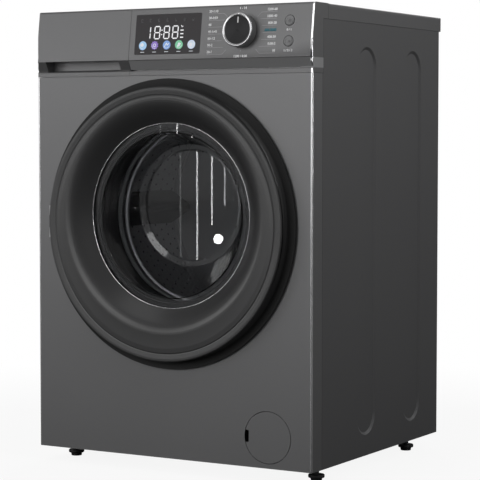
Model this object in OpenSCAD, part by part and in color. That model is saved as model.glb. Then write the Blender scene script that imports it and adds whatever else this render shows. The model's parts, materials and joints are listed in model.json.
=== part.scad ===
// Front load washing machine: cabinet, door, drum on springs, belt drive, drawer and controls.
// Millimetres, +Z up, front towards -Y, origin on the floor under the middle of the whole machine.

/* [Cabinet] */
// Width of the cabinet
cabinet_w = 595; // [585:5:620]
// Depth of the cabinet, from the front panel to the rear wall
cabinet_d = 530; // [530:5:600]
// Thickness of the steel sheet
sheet_t = 0.8; // [0.6:0.1:1.2]
// Radius of the front panel's upright corners
corner_r = 4; // [2:0.5:6]
// Depth of the front panel's side returns
return_d = 36; // [30:1:40]
// Depth of the pressed ribs in the side walls
rib_depth = 3; // [2:0.5:5]
// Half width of the pressed ribs in the side walls
rib_r = 38; // [30:1:44]

/* [Feet] */
// Height of the cabinet's lower edge above the floor
foot_h = 28; // [26:1:34]
// Radius of a foot's disc
foot_r = 15; // [12:0.5:18]
// Radius of a foot's threaded stem
foot_stem_r = 5; // [4:0.5:6]
// Distance of the feet from the cabinet's sides
foot_inset_x = 32; // [30:1:38]
// Distance of the feet from the front panel and the rear wall
foot_inset_y = 76; // [70:1:85]
// Length of thread that a foot can be screwed out by
foot_travel = 15; // [8:1:18]

/* [Top cover] */
// Height of the top cover's skirt
top_h = 28; // [24:1:32]
// Length that the top cover stands out past the rear wall
top_overhang = 18; // [18:1:30]
// Wall of the top cover
top_wall = 3; // [2:0.5:4]

/* [Control panel] */
// Height of the control panel
fascia_h = 123.4; // [121:0.2:127]
// Lean of the control panel's face, in degrees
fascia_tilt = 7.7; // [5:0.1:9]
// Wall of the control panel
fascia_wall = 2.5; // [2:0.1:3]
// Width of the drawer's front
drawer_front_w = 210.5; // [206:0.5:213]
// Width of the display window
display_w = 141.5; // [130:0.5:145]
// Height of the display window
display_h = 74.6; // [66:0.2:76]
// Gap between the drawer's front and the display window
display_gap = 12.4; // [10:0.2:16]
// Place of the program knob's axis
knob_x = 152.4; // [148:0.2:156]
// Radius of the program knob's ring
knob_r = 31.3; // [27:0.1:33]
// Height of the program knob above the panel
knob_h = 18; // [14:0.5:22]
// Radius of the program knob's shaft
knob_shaft_r = 3; // [2.5:0.25:4]
// Place of the push buttons
button_x = 249; // [244:0.5:253]
// Radius of the push buttons
button_r = 9.4; // [7:0.1:10.5]
// Travel of the push buttons
button_travel = 1.5; // [1:0.1:2]

/* [Door] */
// Height of the door's middle above the cabinet's lower edge (the cabinet's height follows it)
door_rise = 433.6; // [431:0.4:440]
// Outer radius of the door
door_r = 266.8; // [264:0.4:268]
// Length that the door stands out from the front panel
door_bulge = 30; // [29:0.5:33]
// Radius of the window in the door's ring
window_r = 170; // [167:0.5:172]
// Height of the window's middle above the door's middle
window_rise = 15.3; // [13:0.1:17]
// Wall of the door's plastic parts
door_wall = 2.5; // [2:0.1:3]
// Thickness of the glass bowl
glass_t = 4; // [3:0.5:5]
// Depth of the glass bowl
bowl_d = 80; // [74:1:82]
// Radius of the glass bowl's inner end
bowl_end_r = 122; // [112:1:124]
// Rise of the bowl's inner end above the window's middle
bowl_rise = 17; // [10:1:18]
// Radius of the door's hinge pin
hinge_pin_r = 2.5; // [2:0.25:3]

/* [Drum and tub] */
// Outer radius of the drum
drum_r = 244; // [236:1:245]
// Depth of the cabinet that is left over by the drum
drum_room = 230; // [230:5:250]
// Radius of the drum's mouth
drum_mouth_r = 160; // [157:1:164]
// Thickness of the drum's sheet
drum_t = 1; // [0.8:0.1:1.5]
// Height of the lifters inside the drum
lifter_h = 48; // [35:1:55]
// Gap between drum and tub
tub_gap = 9; // [8:0.5:10]
// Wall of the tub
tub_wall = 3.5; // [3:0.5:4.5]
// Radius of the drum's shaft in its front bearing
shaft_r = 15; // [13:0.5:16]
// Radius of the drum's pulley
pulley_r = 146; // [130:1:150]
// Radius of the motor's pulley
motor_pulley_r = 10.5; // [9.5:0.5:13]
// Width of the drive belt
belt_w = 12; // [9:1:14]
// Radius of the motor's housing
motor_r = 56; // [48:1:60]
// Travel of the tub on its springs, up and down
bounce = 8; // [5:1:8]
// Radius of the suspension springs
spring_coil_r = 12; // [9:0.5:14]
// Radius of the springs' wire
spring_wire_r = 2; // [1.5:0.25:2.5]
// Radius of the damper cylinders
damper_r = 15; // [13:0.5:16]
// Radius of the damper rods
damper_rod_r = 6; // [5:0.5:7]

/* [Drawer] */
// Width of the detergent tray
tray_w = 182; // [170:1:183]
// Length of the detergent tray
tray_len = 240; // [215:5:245]
// Height of the detergent tray
tray_h = 60; // [52:1:62]
// Wall of the tray and its housing
tray_wall = 2.2; // [1.8:0.2:2.6]

/* [Pump] */
// Radius of the filter cover's opening
filter_r = 47.8; // [44:0.2:49]
// Distance of the filter cover's middle from the cabinet's side
filter_side = 90.7; // [88.5:0.1:94.5]
// Height of the filter cover's middle above the cabinet's lower edge
filter_rise = 56; // [54.5:0.5:60]
// Inner radius of the pump's filter chamber
chamber_r = 27; // [24:1:28]
// Radius of the drain hose
drain_r = 11; // [9:0.5:12]

/* [Hidden] */

// Clearances that several pieces share
fit = 0.3;        // between pieces that sit against each other without touching
running = 0.05;   // radial clearance of a shaft or hinge pin in its bore
seam = 0.6;       // open joint line between neighbouring outer panels
eps = 0.02;       // length by which a cut runs past a face
arc_fn = 120;     // steps of the large circles

// Main places. y counts from the front panel's face towards the rear.
half_w = cabinet_w / 2;
filter_x = half_w - filter_side;
tub_r = drum_r + tub_gap;
tub_out_r = tub_r + tub_wall;
seam_rise = max(door_r + 6.2, window_rise + tub_out_r + 1.2);
cabinet_h = door_rise + seam_rise + fascia_h;
overall_d = door_bulge + cabinet_d + top_overhang;
front_y = door_bulge - overall_d / 2;
z_base = foot_h;
z_top = foot_h + cabinet_h;
z_seam = z_top - fascia_h;
z_skirt = z_top - top_h;
z_door = z_base + door_rise;
z_window = z_door + window_rise;

// Side walls and rear wall
wall_front = return_d + 0.8;
flange_w = 20;
rib_low = z_base + 39;
rib_high = z_skirt - 43;
rib_slope = 5;
rib_ys = [wall_front + 175, wall_front + 372];
rear_hole_r = 180;
rear_hole_drop = 120;
rear_hole_low = z_window - 330;
screw_r = 1.8;
screw_head_r = 4;

// Control panel outline, in y and z
lip_y = -5;
lip_z = z_top - 96;
strip_z = z_seam + 8;
groove_h = 2.4;
groove_y = 4;
groove_back = 12;
groove_end_x = half_w - 28;
wing_y = return_d + 3;
wing_top_y = wing_y + 18;
drawer_x = -half_w + drawer_front_w;
display_x = drawer_x + display_gap + display_w / 2;
drawer_face_t = 26;
drawer_back_y = drawer_face_t + seam;
controls_z = lip_z + 48;
display_z = controls_z - 0.8;
button_z = controls_z - 1.6;
button_dz = 18.3;
button_stem_r = 4;
button_ring = 0.6;
board_back = 26;
board_t = 1.6;
board_edge = 3;
knob_bush_len = 10;

// Door, window and glass
z_dish = 12;
dish_r = door_r - 30.8;
dish_slope = 10;
opening_r = window_r - 5;
flange_h = 9;
rim_back_y = -4;
rim_front_r = door_r - 15.4;
crease_r = rim_front_r - 15;
cavity_r = rim_front_r - 8;
ring_mouth_r = window_r + 46;
frame_r = dish_r - 7;
frame_y = 9;
frame_t = 3;
frame_hole_r = window_r - 9;
glass_y = 1.4;
glass_flange_r = window_r + 9;
bowl_mouth_r = window_r - 14;
hinge_x = -(door_r - 8.3);
hinge_y = -11.5;
hinge_knuckle_r = 4.3;
hinge_inner = 12;
hinge_outer = 30;
hook_x = dish_r - 26;
hook_half = 7;

// Tub, drum and drive, about the window's axis
drum_y = 100;
drum_len = cabinet_d - drum_room;
drum_back_y = drum_y + drum_len;
tub_rim_r = tub_out_r + 9;
tub_front_y = drum_y - 12;
tub_collar = 6;
tub_split_y = tub_front_y + 130;
spider_y = drum_back_y + drum_t + fit;
spider_t = 16;
tub_back_y = spider_y + spider_t + 7;
hub_r = 44;
seal_w = 7;
seal_y = tub_back_y + tub_wall - 2;
front_bearing_y = seal_y + seal_w + 1;
front_bearing_w = 16;
front_bearing_r = 31;
rear_shaft_r = shaft_r - 2.5;
rear_bearing_y = front_bearing_y + front_bearing_w + 7;
rear_bearing_w = 15;
rear_bearing_r = 26;
hub_end_y = rear_bearing_y + rear_bearing_w;
trough_x = -70;
trough_half = 42;
trough_z = z_window - tub_out_r - 22;
heater_z = z_window - tub_out_r - 2;
heater_r = 4;
heater_half = 20;
belt_y = hub_end_y + 5;
pulley_rim = 2;
pulley_bore_r = rear_shaft_r - 2.5;
belt_t = 4;
motor_drop = 36.4;
z_motor = max(z_window - tub_out_r - motor_r - motor_drop, z_base + motor_r + 15);
motor_x = 30;
motor_len = 95;
motor_neck = 18;
motor_y = belt_y - pulley_rim - motor_neck - motor_len;
motor_shaft_r = 6;
weight_r = tub_out_r - 15;
weight_in_r = drum_r - 50;
weight_y = 30;

// Suspension
brace_y = 330;
brace_h = 24;
spring_x = half_w - 61.5;
hook_r = 7;
eye_r = 4;
spring_top_z = z_skirt - 52;
spring_low_z = z_window + 178;
damper_y = 300;
damper_base = [190, z_base + 34];
damper_top = [135, z_window - tub_out_r + 11.5];
damper_len = norm(damper_top - damper_base);
damper_lean = atan2(damper_base[0] - damper_top[0], damper_top[1] - damper_base[1]);
damper_eye_r = 12;
damper_eye_half = 9;
damper_tube = 105;
pin_r = 5;
pin_gap = 0.5;

// Drawer and its housing
tray_gap = 1;
tray_x = -half_w + (drawer_front_w + fascia_wall) / 2;
tray_z = z_seam + 20;
tray_y = drawer_face_t;
house_y = drawer_back_y + fascia_wall + fit;
house_end_y = tray_y + tray_len + 14;
house_w = tray_w + 2 * (tray_gap + tray_wall);
house_z = tray_z - tray_gap - tray_wall;
house_top_z = tray_z + tray_h + 10;
spout_x = tray_x + 20;
spout_y = house_end_y - 34;
spout_r = 14;
spout_z = house_z - 25;
hose_t = 3;
valve_z = z_skirt - 36;
inlet_r = 13.2;
fill_r = 6;
gland_r = 8;

// Pump, filter and sump
z_filter = z_base + filter_rise;
cover_gap = 1.1;
cover_t = 2.5;
chamber_wall = 3;
chamber_y = 34;
chamber_len = 110;
volute_y = chamber_y + chamber_len;
volute_len = 16;
outlet_y = volute_y + 7.6;
pump_motor_len = 46;
filter_neck = 9;
impeller_r = 20;
drain_x = half_w - 38.7;
drain_z = z_filter + 16;
sump_x = filter_x - 96.8;

sump_r = 18;
sump_y = volute_y - sump_r - 4;
sump_z = z_window - tub_out_r - 8;
elbow_r = 24;
elbow_z = z_filter + elbow_r + 10;

// Points of an arc about [cx, cy]
function arc(cx, cy, r, a0, a1, n = 8) =
  [for (i = [0:n]) let (a = a0 + (a1 - a0) * i / n) [cx + r * cos(a), cy + r * sin(a)]];
// Points of an elliptical arc about [cx, cy]
function bow(cx, cy, rx, ry, a0, a1, n = 12) =
  [for (i = [0:n]) let (a = a0 + (a1 - a0) * i / n) [cx + rx * cos(a), cy + ry * sin(a)]];
// Height of the tub's outer wall above or below the window's axis, at a distance x from the middle
function tub_rise(x) = sqrt(tub_out_r * tub_out_r - x * x);
// y of the control panel's face at a height
function face_y(z) = lip_y + (z - lip_z) * tan(fascia_tilt);

// Puts a piece drawn from the front panel's face into the part's frame
module machine() translate([0, front_y, 0]) children();
// Turned piece about an axis along y: points are [radius, y]
module turned(points, z = 0, x = 0)
  translate([x, 0, z]) rotate([-90, 0, 0]) rotate_extrude($fn = arc_fn) polygon(points);
// Round bar or bore along y, from y0 to y1
module bar_y(r, y0, y1, x = 0, z = 0, fn = 48)
  translate([x, y0, z]) rotate([-90, 0, 0]) cylinder(r = r, h = y1 - y0, $fn = fn);
// Round bar or bore along x, from x0 to x1
module bar_x(r, x0, x1, y = 0, z = 0, fn = 48)
  translate([x0, y, z]) rotate([0, 90, 0]) cylinder(r = r, h = x1 - x0, $fn = fn);
// Round bar or bore along z, from z0 to z1
module bar_z(r, z0, z1, x = 0, y = 0, fn = 48)
  translate([x, y, z0]) cylinder(r = r, h = z1 - z0, $fn = fn);
// Box from its lowest to its highest corner
module block(a, b) translate(a) cube(b - a);
// Profile in y and z, drawn from x0 to x1
module beam(points, x0, x1)
  translate([x0, 0, 0]) rotate([90, 0, 90]) linear_extrude(x1 - x0) polygon(points);
// Profile in x and z, drawn from y0 to y1
module plate(points, y0, y1)
  translate([0, y1, 0]) rotate([90, 0, 0]) linear_extrude(y1 - y0) polygon(points);
// Things on the control panel's face: there z points outwards
module on_face(x, z) translate([x, face_y(z), z]) rotate([90 - fascia_tilt, 0, 0]) children();
// Rectangle with round corners about the origin
module soft_rect(w, h, r) {
  square([w - 2 * r, h], center = true);
  square([w, h - 2 * r], center = true);
  for (x = [-1, 1], y = [-1, 1]) translate([x * (w / 2 - r), y * (h / 2 - r)]) circle(r, $fn = 32);
}
// Long round-ended pocket with sloping sides: its wide face at x = 0, going towards -x
module stadium(half, r0, r1, depth) {
  for (s = [-1, 1]) translate([0, 0, s * half]) rotate([0, -90, 0])
    cylinder(r1 = r0, r2 = r1, h = depth, $fn = 72);
  translate([0, 0, -half]) linear_extrude(2 * half)
    polygon([[0, -r0], [0, r0], [-depth, r1], [-depth, -r1]]);
}
// A piece on the right side and its mirror image on the left
module both_sides() {
  children();
  mirror([1, 0, 0]) children();
}
// Wire wound along a helix about z, from z0 to z1
module coil(turns, r, wire, z0, z1, steps = 12, sides = 6) {
  n = turns * steps;
  pts = [for (i = [0:n], j = [0:sides - 1])
    let (a = 360 * i / steps, b = 360 * j / sides, q = r + wire * cos(b))
    [q * cos(a), q * sin(a), z0 + (z1 - z0) * i / n + wire * sin(b)]];
  walls = [for (i = [0:n - 1], j = [0:sides - 1])
    let (k = (j + 1) % sides, p = i * sides)
    each [[p + j, p + k, p + sides + k], [p + j, p + sides + k, p + sides + j]]];
  low = [for (j = [1:sides - 2]) [0, j + 1, j]];
  high = [for (j = [1:sides - 2]) [n * sides, n * sides + j, n * sides + j + 1]];
  polyhedron(points = pts, faces = concat(walls, low, high));
}

// ---------------------------------------------------------------- cabinet

// One side wall: sheet with two pressed ribs and inward flanges
module side_wall() {
  rib_half = (rib_high - rib_low) / 2 - rib_r;
  rib_z = (rib_high + rib_low) / 2;
  difference() {
    union() {
      block([half_w - sheet_t, wall_front, z_base], [half_w, cabinet_d, z_skirt]);
      block([half_w - flange_w, wall_front, z_base], [half_w, wall_front + sheet_t, z_seam - 2]);
      block([half_w - flange_w, wing_y + seam, z_skirt - sheet_t], [half_w, cabinet_d, z_skirt]);
      for (y = rib_ys) translate([half_w - eps, y, rib_z])
        stadium(rib_half, rib_r + sheet_t, rib_r - rib_slope + sheet_t, rib_depth + sheet_t);
    }
    for (y = rib_ys) translate([half_w + eps, y, rib_z])
      stadium(rib_half, rib_r, rib_r - rib_slope, rib_depth + 2 * eps);
    block([half_w - 2, 0, z_seam - seam], [half_w + 1, wing_y + seam, z_top]);
  }
}

function transit_places() = [for (x = [-1, 1], z = [z_window - 150, z_window + 150]) [x * 228, z]];
function cover_screws() = [for (x = [-1, 1], z = [rear_hole_low + 40, rear_hole_low + 150])
  [x * (rear_hole_r + 8), z]];

module cabinet_shell() color("#4c4d4f") {
  both_sides() side_wall();
  difference() {
    block([-half_w, cabinet_d - sheet_t, z_base], [half_w, cabinet_d, z_skirt]);
    bar_y(rear_hole_r, cabinet_d - 2, cabinet_d + 1, 0, z_window - rear_hole_drop, fn = 96);
    block([-rear_hole_r, cabinet_d - 2, rear_hole_low],
      [rear_hole_r, cabinet_d + 1, z_window - rear_hole_drop]);
    bar_y(inlet_r + 1, cabinet_d - 2, cabinet_d + 1, tray_x, valve_z);
    bar_y(drain_r + 1, cabinet_d - 2, cabinet_d + 1, drain_x, drain_z);
    bar_y(gland_r + fit, cabinet_d - 2, cabinet_d + 1, -tray_x, valve_z);
    for (p = transit_places()) bar_y(11, cabinet_d - 2, cabinet_d + 1, p[0], p[1]);
    for (p = cover_screws()) bar_y(screw_r + fit, cabinet_d - 2, cabinet_d + 1, p[0], p[1]);
    for (i = [-5:5]) translate([90 + i * 9, cabinet_d, valve_z]) rotate([90, 0, 0])
      translate([0, 0, -1]) linear_extrude(3) soft_rect(4, 40, 1.9);
  }
}

// Outline of the access cover, shrunk by g
module cover_outline(g) {
  w = rear_hole_r + 16;
  top = z_window - rear_hole_drop;
  translate([0, top]) circle(w - g, $fn = 96);
  translate([g - w, rear_hole_low - 16 + g]) square([2 * (w - g), top - rear_hole_low + 16 - g]);
}

// Pressed access cover over the belt and pulley
module rear_cover() color("#46474a") difference() {
  translate([0, cabinet_d + fit, 0]) mirror([0, 1, 0]) rotate([90, 0, 0]) difference() {
    union() {
      linear_extrude(sheet_t) cover_outline(0);
      linear_extrude(8) cover_outline(22);
    }
    translate([0, 0, -1]) linear_extrude(9 - sheet_t) cover_outline(22 + sheet_t);
  }
  for (i = [-3:3]) translate([i * 22, cabinet_d + 20, rear_hole_low + 60]) rotate([90, 0, 0])
    linear_extrude(40) soft_rect(7, 50, 3.4);
  for (p = cover_screws()) bar_y(screw_r + fit, cabinet_d - 2, cabinet_d + 3, p[0], p[1]);
}

function foot_places() = [for (x = [-1, 1], y = [foot_inset_y, cabinet_d - foot_inset_y])
  [x * (half_w - foot_inset_x), y]];

// Two ears with a pin between them, which carry a damper's lower eye
module damper_bracket(s) {
  for (d = [-1, 1]) translate([s * damper_base[0], damper_y + d * (damper_eye_half + 2.5) - 2, 0]) {
    block([-12, 0, z_base + 2], [12, 4, damper_base[1]]);
    bar_y(12, 0, 4, 0, damper_base[1]);
  }
  bar_y(pin_r, damper_y - damper_eye_half - 3, damper_y + damper_eye_half + 3,
    s * damper_base[0], damper_base[1]);
}

// Base tray: rim, bosses for the feet, drip opening and brackets for the dampers
module base_pan() color("#2f3032") {
  rim = 26;
  floor_t = 3;
  y0 = wall_front + sheet_t + fit;
  y1 = cabinet_d - sheet_t - fit;
  x = half_w - sheet_t - fit;
  difference() {
    union() {
      difference() {
        block([-x, y0, z_base], [x, y1, z_base + rim]);
        block([floor_t - x, y0 + floor_t, z_base + floor_t], [x - floor_t, y1 - floor_t, z_top]);
      }
      for (p = foot_places()) bar_z(foot_stem_r + 8, z_base + 1, z_base + rim, p[0], p[1]);
      for (i = [0:2]) both_sides()
        block([x - 60, y0 + 115 + i * 95, z_base + 1], [x - 1, y0 + 118 + i * 95, z_base + rim - 4]);
    }
    block([150 - x, y0 + 120, z_base - 1], [x - 150, y1 - 100, z_base + 5]);
    for (p = foot_places()) bar_z(foot_stem_r + running, z_base - 1, z_base + rim + 1, p[0], p[1]);
  }
  for (s = [-1, 1]) damper_bracket(s);
  for (y = [chamber_y + 22, volute_y + volute_len + 22])
    block([filter_x - 16, y - 5, z_base + 2], [filter_x + 16, y + 5, z_filter - chamber_r - chamber_wall - 1]);
}

// Front panel's shape from above, shrunk by g
module front_plan(g) {
  translate([corner_r - half_w, g]) square([cabinet_w - 2 * corner_r, return_d - g]);
  translate([g - half_w, corner_r]) square([cabinet_w - 2 * g, return_d - corner_r]);
  for (s = [-1, 1]) translate([s * (half_w - corner_r), corner_r]) circle(corner_r - g, $fn = 48);
}

// Steel front: round upright corners, returns, dished seat for the door, opening for the filter
module front_panel() color("#77787a") {
  z1 = z_seam - seam;
  difference() {
    union() {
      difference() {
        union() {
          translate([0, 0, z_base]) linear_extrude(z1 - z_base) difference() {
            front_plan(0);
            difference() {
              front_plan(sheet_t);
              both_sides() translate([half_w - flange_w, return_d - sheet_t])
                square([flange_w + 5, 5]);
            }
          }
          for (z = [z_base, z1 - sheet_t]) translate([0, 0, z]) linear_extrude(sheet_t)
            intersection() {
              front_plan(sheet_t / 2);
              translate([-half_w, 0]) square([cabinet_w, 26]);
            }
        }
        bar_y(dish_r + dish_slope, -1, 2, 0, z_door, fn = arc_fn);
      }
      turned([[0, z_dish], [dish_r, z_dish], [dish_r + dish_slope, 0], [dish_r + dish_slope + 2, 0],
        [dish_r + dish_slope + 2, sheet_t], [dish_r + dish_slope + 0.4, sheet_t],
        [dish_r + 0.4, z_dish + sheet_t], [0, z_dish + sheet_t]], z_door);
      bar_y(opening_r + sheet_t, z_dish + sheet_t / 2, z_dish + flange_h, 0, z_window, fn = arc_fn);
    }
    bar_y(opening_r, z_dish - 1, z_dish + flange_h + 1, 0, z_window, fn = arc_fn);
    bar_y(filter_r, -1, 2, filter_x, z_filter, fn = 96);
    block([hook_x - hook_half - 5, z_dish - 2, z_door - 9], [hook_x + hook_half + 5, z_dish + 2, z_door + 9]);
  }
}

// Top cover: shell with round edges, upper corners at the rear rounded, cross ribs below
module top_cover() color("#4a4b4d") {
  y0 = wing_top_y + seam;
  y1 = cabinet_d + top_overhang;
  z0 = z_skirt + seam;
  edge = 5;
  rear_r = 12;
  difference() {
    intersection() {
      translate([0, 0, z0]) linear_extrude(z_top - z0) {
        translate([-half_w, y0]) square([cabinet_w, y1 - y0 - rear_r]);
        translate([rear_r - half_w, y0]) square([cabinet_w - 2 * rear_r, y1 - y0]);
        for (s = [-1, 1]) translate([s * (half_w - rear_r), y1 - rear_r]) circle(rear_r, $fn = 48);
      }
      plate(concat([[half_w, z0]], arc(half_w - edge, z_top - edge, edge, 0, 90),
        arc(edge - half_w, z_top - edge, edge, 90, 180), [[-half_w, z0]]), y0, y1);
      beam(concat([[y0, z0], [y1, z0]], arc(y1 - edge, z_top - edge, edge, 0, 90), [[y0, z_top]]),
        -half_w, half_w);
    }
    block([top_wall - half_w, y0 + 12, z0 - 1], [half_w - top_wall, cabinet_d - 6, z_top - top_wall]);
    block([rear_r - half_w, cabinet_d + 6, z0 - 1], [half_w - rear_r, y1 - top_wall, z_top - top_wall]);
  }
  for (x = [-2:2]) block([x * 96 - 1.5, y0 + 11, z_top - 12], [x * 96 + 1.5, cabinet_d - 5, z_top - top_wall + 1]);
}

// Control panel's outline in y and z
function fascia_outline() = concat(
  [[wing_top_y, z_skirt + seam], [wing_top_y, z_top]],
  arc(face_y(z_top - 4) + 4 / cos(fascia_tilt), z_top - 4, 4, 90, 180 - fascia_tilt),
  arc(face_y(lip_z + 1.5) + 3, lip_z + 1.5, 3, 180 - fascia_tilt, 205, n = 4),
  [[groove_y, strip_z + groove_h], [groove_back, strip_z + groove_h], [groove_back, strip_z],
  [0.6, strip_z], [0, strip_z - 0.6], [0, z_seam], [wing_y, z_seam], [wing_y, z_skirt + seam]]);
// Hollow behind the control panel's skin, open at the back and below
function fascia_hollow() = let (w = fascia_wall) [
  [wing_top_y + 9, z_top - w], [face_y(z_top - w) + w + 3, z_top - w],
  [face_y(z_top - w - 3) + w, z_top - w - 3], [face_y(lip_z) + w, lip_z],
  [groove_y + w, strip_z + groove_h + w], [groove_back + w, strip_z + groove_h + w],
  [groove_back + w, z_seam - 1], [wing_top_y + 9, z_seam - 1]];

// Control panel: leaning face, lip with a shadow groove, wings round the sides, place for the drawer
module control_fascia() color("#707173") {
  w = fascia_wall;
  back_z = z_seam + 4;
  difference() {
    union() {
      difference() {
        intersection() {
          union() {
            beam(fascia_outline(), -half_w, half_w);
            beam([[0.6, strip_z - 1], [groove_y, strip_z + groove_h + 0.5],
              [groove_back + 1, strip_z + groove_h + 0.5], [groove_back + 1, strip_z - 1]],
              groove_end_x, half_w);
          }
          translate([0, -20, z_seam]) linear_extrude(fascia_h) {
            translate([corner_r - half_w, 0]) square([cabinet_w - 2 * corner_r, 99]);
            translate([-half_w, 19 + corner_r]) square([cabinet_w, 80 - corner_r]);
            for (s = [-1, 1]) translate([s * (half_w - corner_r), 19 + corner_r])
              circle(corner_r, $fn = 48);
            translate([corner_r - half_w, 0]) square([cabinet_w - 2 * corner_r, 20]);
          }
        }
        beam(fascia_hollow(), w - half_w, half_w - w);
        block([-half_w - 1, -20, z_seam - 1], [drawer_x + seam, drawer_back_y, z_top + 1]);
      }
      block([w - half_w - 0.5, drawer_back_y, back_z], [drawer_x + seam + w, drawer_back_y + w, z_top - 1]);
      intersection() {
        beam(fascia_outline(), drawer_x + seam, drawer_x + seam + w);
        block([-half_w, -20, z_seam], [half_w, drawer_back_y + w, z_top]);
      }
      on_face(knob_x, controls_z) translate([0, 0, -knob_bush_len]) cylinder(r = 8, h = knob_bush_len - 1);
      for (s = [-1, 1]) on_face(button_x, button_z + s * button_dz)
        translate([0, 0, -knob_bush_len - 2]) cylinder(r = button_r + button_ring + w, h = knob_bush_len + 1);
      for (x = [display_x + display_w / 2 + 11, half_w - 14], z = [-37, 34]) on_face(x, controls_z + z)
        translate([0, 0, -board_back]) cylinder(r = 4, h = board_back - 1, $fn = 32);
    }
    translate([tray_x, 0, tray_z + tray_h / 2]) rotate([-90, 0, 0]) linear_extrude(60)
      soft_rect(tray_w + 2 * tray_gap, tray_h + 2 * tray_gap + 3, 5);
    on_face(display_x, display_z) translate([0, 0, -20]) linear_extrude(40)
      soft_rect(display_w, display_h, 2.5);
    on_face(knob_x, controls_z) translate([0, 0, -30])
      cylinder(r = knob_shaft_r + running, h = 60, $fn = 32);
    for (s = [-1, 1]) on_face(button_x, button_z + s * button_dz) {
      translate([0, 0, -9]) cylinder(r = button_r + button_ring, h = 20, $fn = 64);
      translate([0, 0, -30]) cylinder(r = button_stem_r + running, h = 60, $fn = 32);
    }
  }
}

// Dark window with a flange behind the panel's wall
module display_window() color("#3c3a3c") on_face(display_x, display_z) {
  translate([0, 0, -fascia_wall - 0.5]) linear_extrude(fascia_wall + 0.3)
    soft_rect(display_w - 0.6, display_h - 0.6, 2.2);
  translate([0, 0, -fascia_wall - 2.5]) linear_extrude(2.3)
    soft_rect(display_w + 8, min(display_h + 8, 84), 3);
}

// Circuit board on four posts, with the knob's encoder, two switches, display block and chips
module control_board() color("#2f6b3c") on_face(0, controls_z) {
  x0 = drawer_x + 5;
  encoder_h = 12;
  translate([0, 0, -board_back - board_t - fit]) {
    difference() {
      union() {
        translate([x0, -42, 0]) cube([half_w - 7 - x0, 81, board_t]);
        translate([knob_x - 7, -7, board_t - eps]) cube([14, 14, encoder_h]);
      }
      translate([knob_x, 0, -1]) cylinder(r = knob_shaft_r + running, h = 30, $fn = 32);
    }
    translate([display_x - display_w / 2 + 4, -36, board_t]) cube([display_w - 8, 70, 18]);
    for (s = [-1, 1]) translate([button_x - 6, -1.6 / cos(fascia_tilt) + s * button_dz - 6, board_t])
      cube([12, 12, 4]);
    for (x = [86, 108, 196, 214]) translate([x, -20, board_t]) cube([12, 30, 3]);
    for (x = [90, 190]) translate([x, 18, board_t]) cylinder(r = 6, h = 12, $fn = 32);
  }
}

// Two rails between the side walls; the front one has the tabs that the springs hang from
module top_braces() color("#8a8c8f") {
  z1 = z_skirt - sheet_t - fit;
  tab_z = spring_top_z + hook_r - spring_wire_r - fit + eye_r;
  x = half_w - sheet_t - fit;
  for (y = [brace_y, brace_y + 100]) difference() {
    block([-x, y - 15, z1 - brace_h], [x, y + 15, z1]);
    block([-half_w, y - 15 + 1.5, z1 - brace_h - 1], [half_w, y + 15 - 1.5, z1 - 1.5]);
  }
  difference() {
    both_sides() block([spring_x - 1.5, brace_y - 11, tab_z - eye_r - 3], [spring_x + 1.5, brace_y + 11, z1 - 1]);
    bar_x(eye_r, -half_w, half_w, brace_y, tab_z, fn = 32);
  }
}

// Housing that the tray slides in: rails in its floor, water channels above, spout below
module dispenser_housing() color("#c9cbcd") {
  x0 = tray_x - house_w / 2;
  difference() {
    union() {
      block([x0, house_y, house_z], [x0 + house_w, house_end_y, house_top_z]);
      bar_z(spout_r, spout_z, house_z + 1, spout_x, spout_y);
      bar_y(fill_r + hose_t, house_end_y - 1, house_end_y + 14, tray_x, valve_z);
    }
    block([x0 + tray_wall, house_y - 1, house_z + tray_wall],
      [x0 + house_w - tray_wall, house_end_y - tray_wall, tray_z + tray_h + tray_gap + 1]);
    for (i = [-1:1]) block([tray_x + i * 58 - 24, house_y + 10, tray_z + tray_h + tray_gap + 3],
      [tray_x + i * 58 + 24, house_end_y - tray_wall, house_top_z - tray_wall]);
    bar_z(spout_r - 2.5, spout_z - 1, house_z + tray_wall + 1, spout_x, spout_y);
    bar_y(fill_r - 1, house_end_y - 20, house_end_y + 30, tray_x, valve_z);
    for (i = [-4:4]) bar_z(1.5, tray_z + tray_h - 1, tray_z + tray_h + 6, tray_x + i * 18, house_y + 60, fn = 16);
  }
  for (s = [-1, 1]) block([tray_x + s * (tray_w / 2 - 12) - 2, house_y, house_z + tray_wall - 0.5],
    [tray_x + s * (tray_w / 2 - 12) + 2, house_end_y - 1, tray_z - fit]);
}

// Water inlet valve: threaded inlet through the rear wall, flange, coil and outlet
module inlet_valve() color("#e4e5e6") {
  y0 = cabinet_d - sheet_t - fit;
  difference() {
    union() {
      bar_y(inlet_r, y0 - 4, cabinet_d + top_overhang - 4, tray_x, valve_z);
      block([tray_x - 26, y0 - 3, valve_z - 18], [tray_x + 26, y0, valve_z + 18]);
      block([tray_x - 17, y0 - 32, valve_z - 16], [tray_x + 17, y0 - 2, valve_z + 16]);
      bar_x(12, tray_x + 16, tray_x + 46, y0 - 18, valve_z);
      bar_y(fill_r - fit, y0 - 50, y0 - 30, tray_x, valve_z);
    }
    bar_y(9, y0 - 6, cabinet_d + top_overhang, tray_x, valve_z);
    bar_y(fill_r - 2, y0 - 60, y0 - 5, tray_x, valve_z);
  }
}

// Hose from the valve to the dispenser housing
module fill_hose() color("#26272a") difference() {
  y0 = house_end_y + 14 + fit;
  y1 = cabinet_d - sheet_t - fit - 32 - fit;
  bar_y(fill_r + 2.5, y0, y1, tray_x, valve_z);
  bar_y(fill_r, y0 - 1, y1 + 1, tray_x, valve_z);
}

// Round pipe from one end face to the other, along z
module pipe(r, bore, len) difference() {
  cylinder(r = r, h = len, $fn = 48);
  translate([0, 0, -1]) cylinder(r = bore, h = len + 2, $fn = 48);
}
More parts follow.
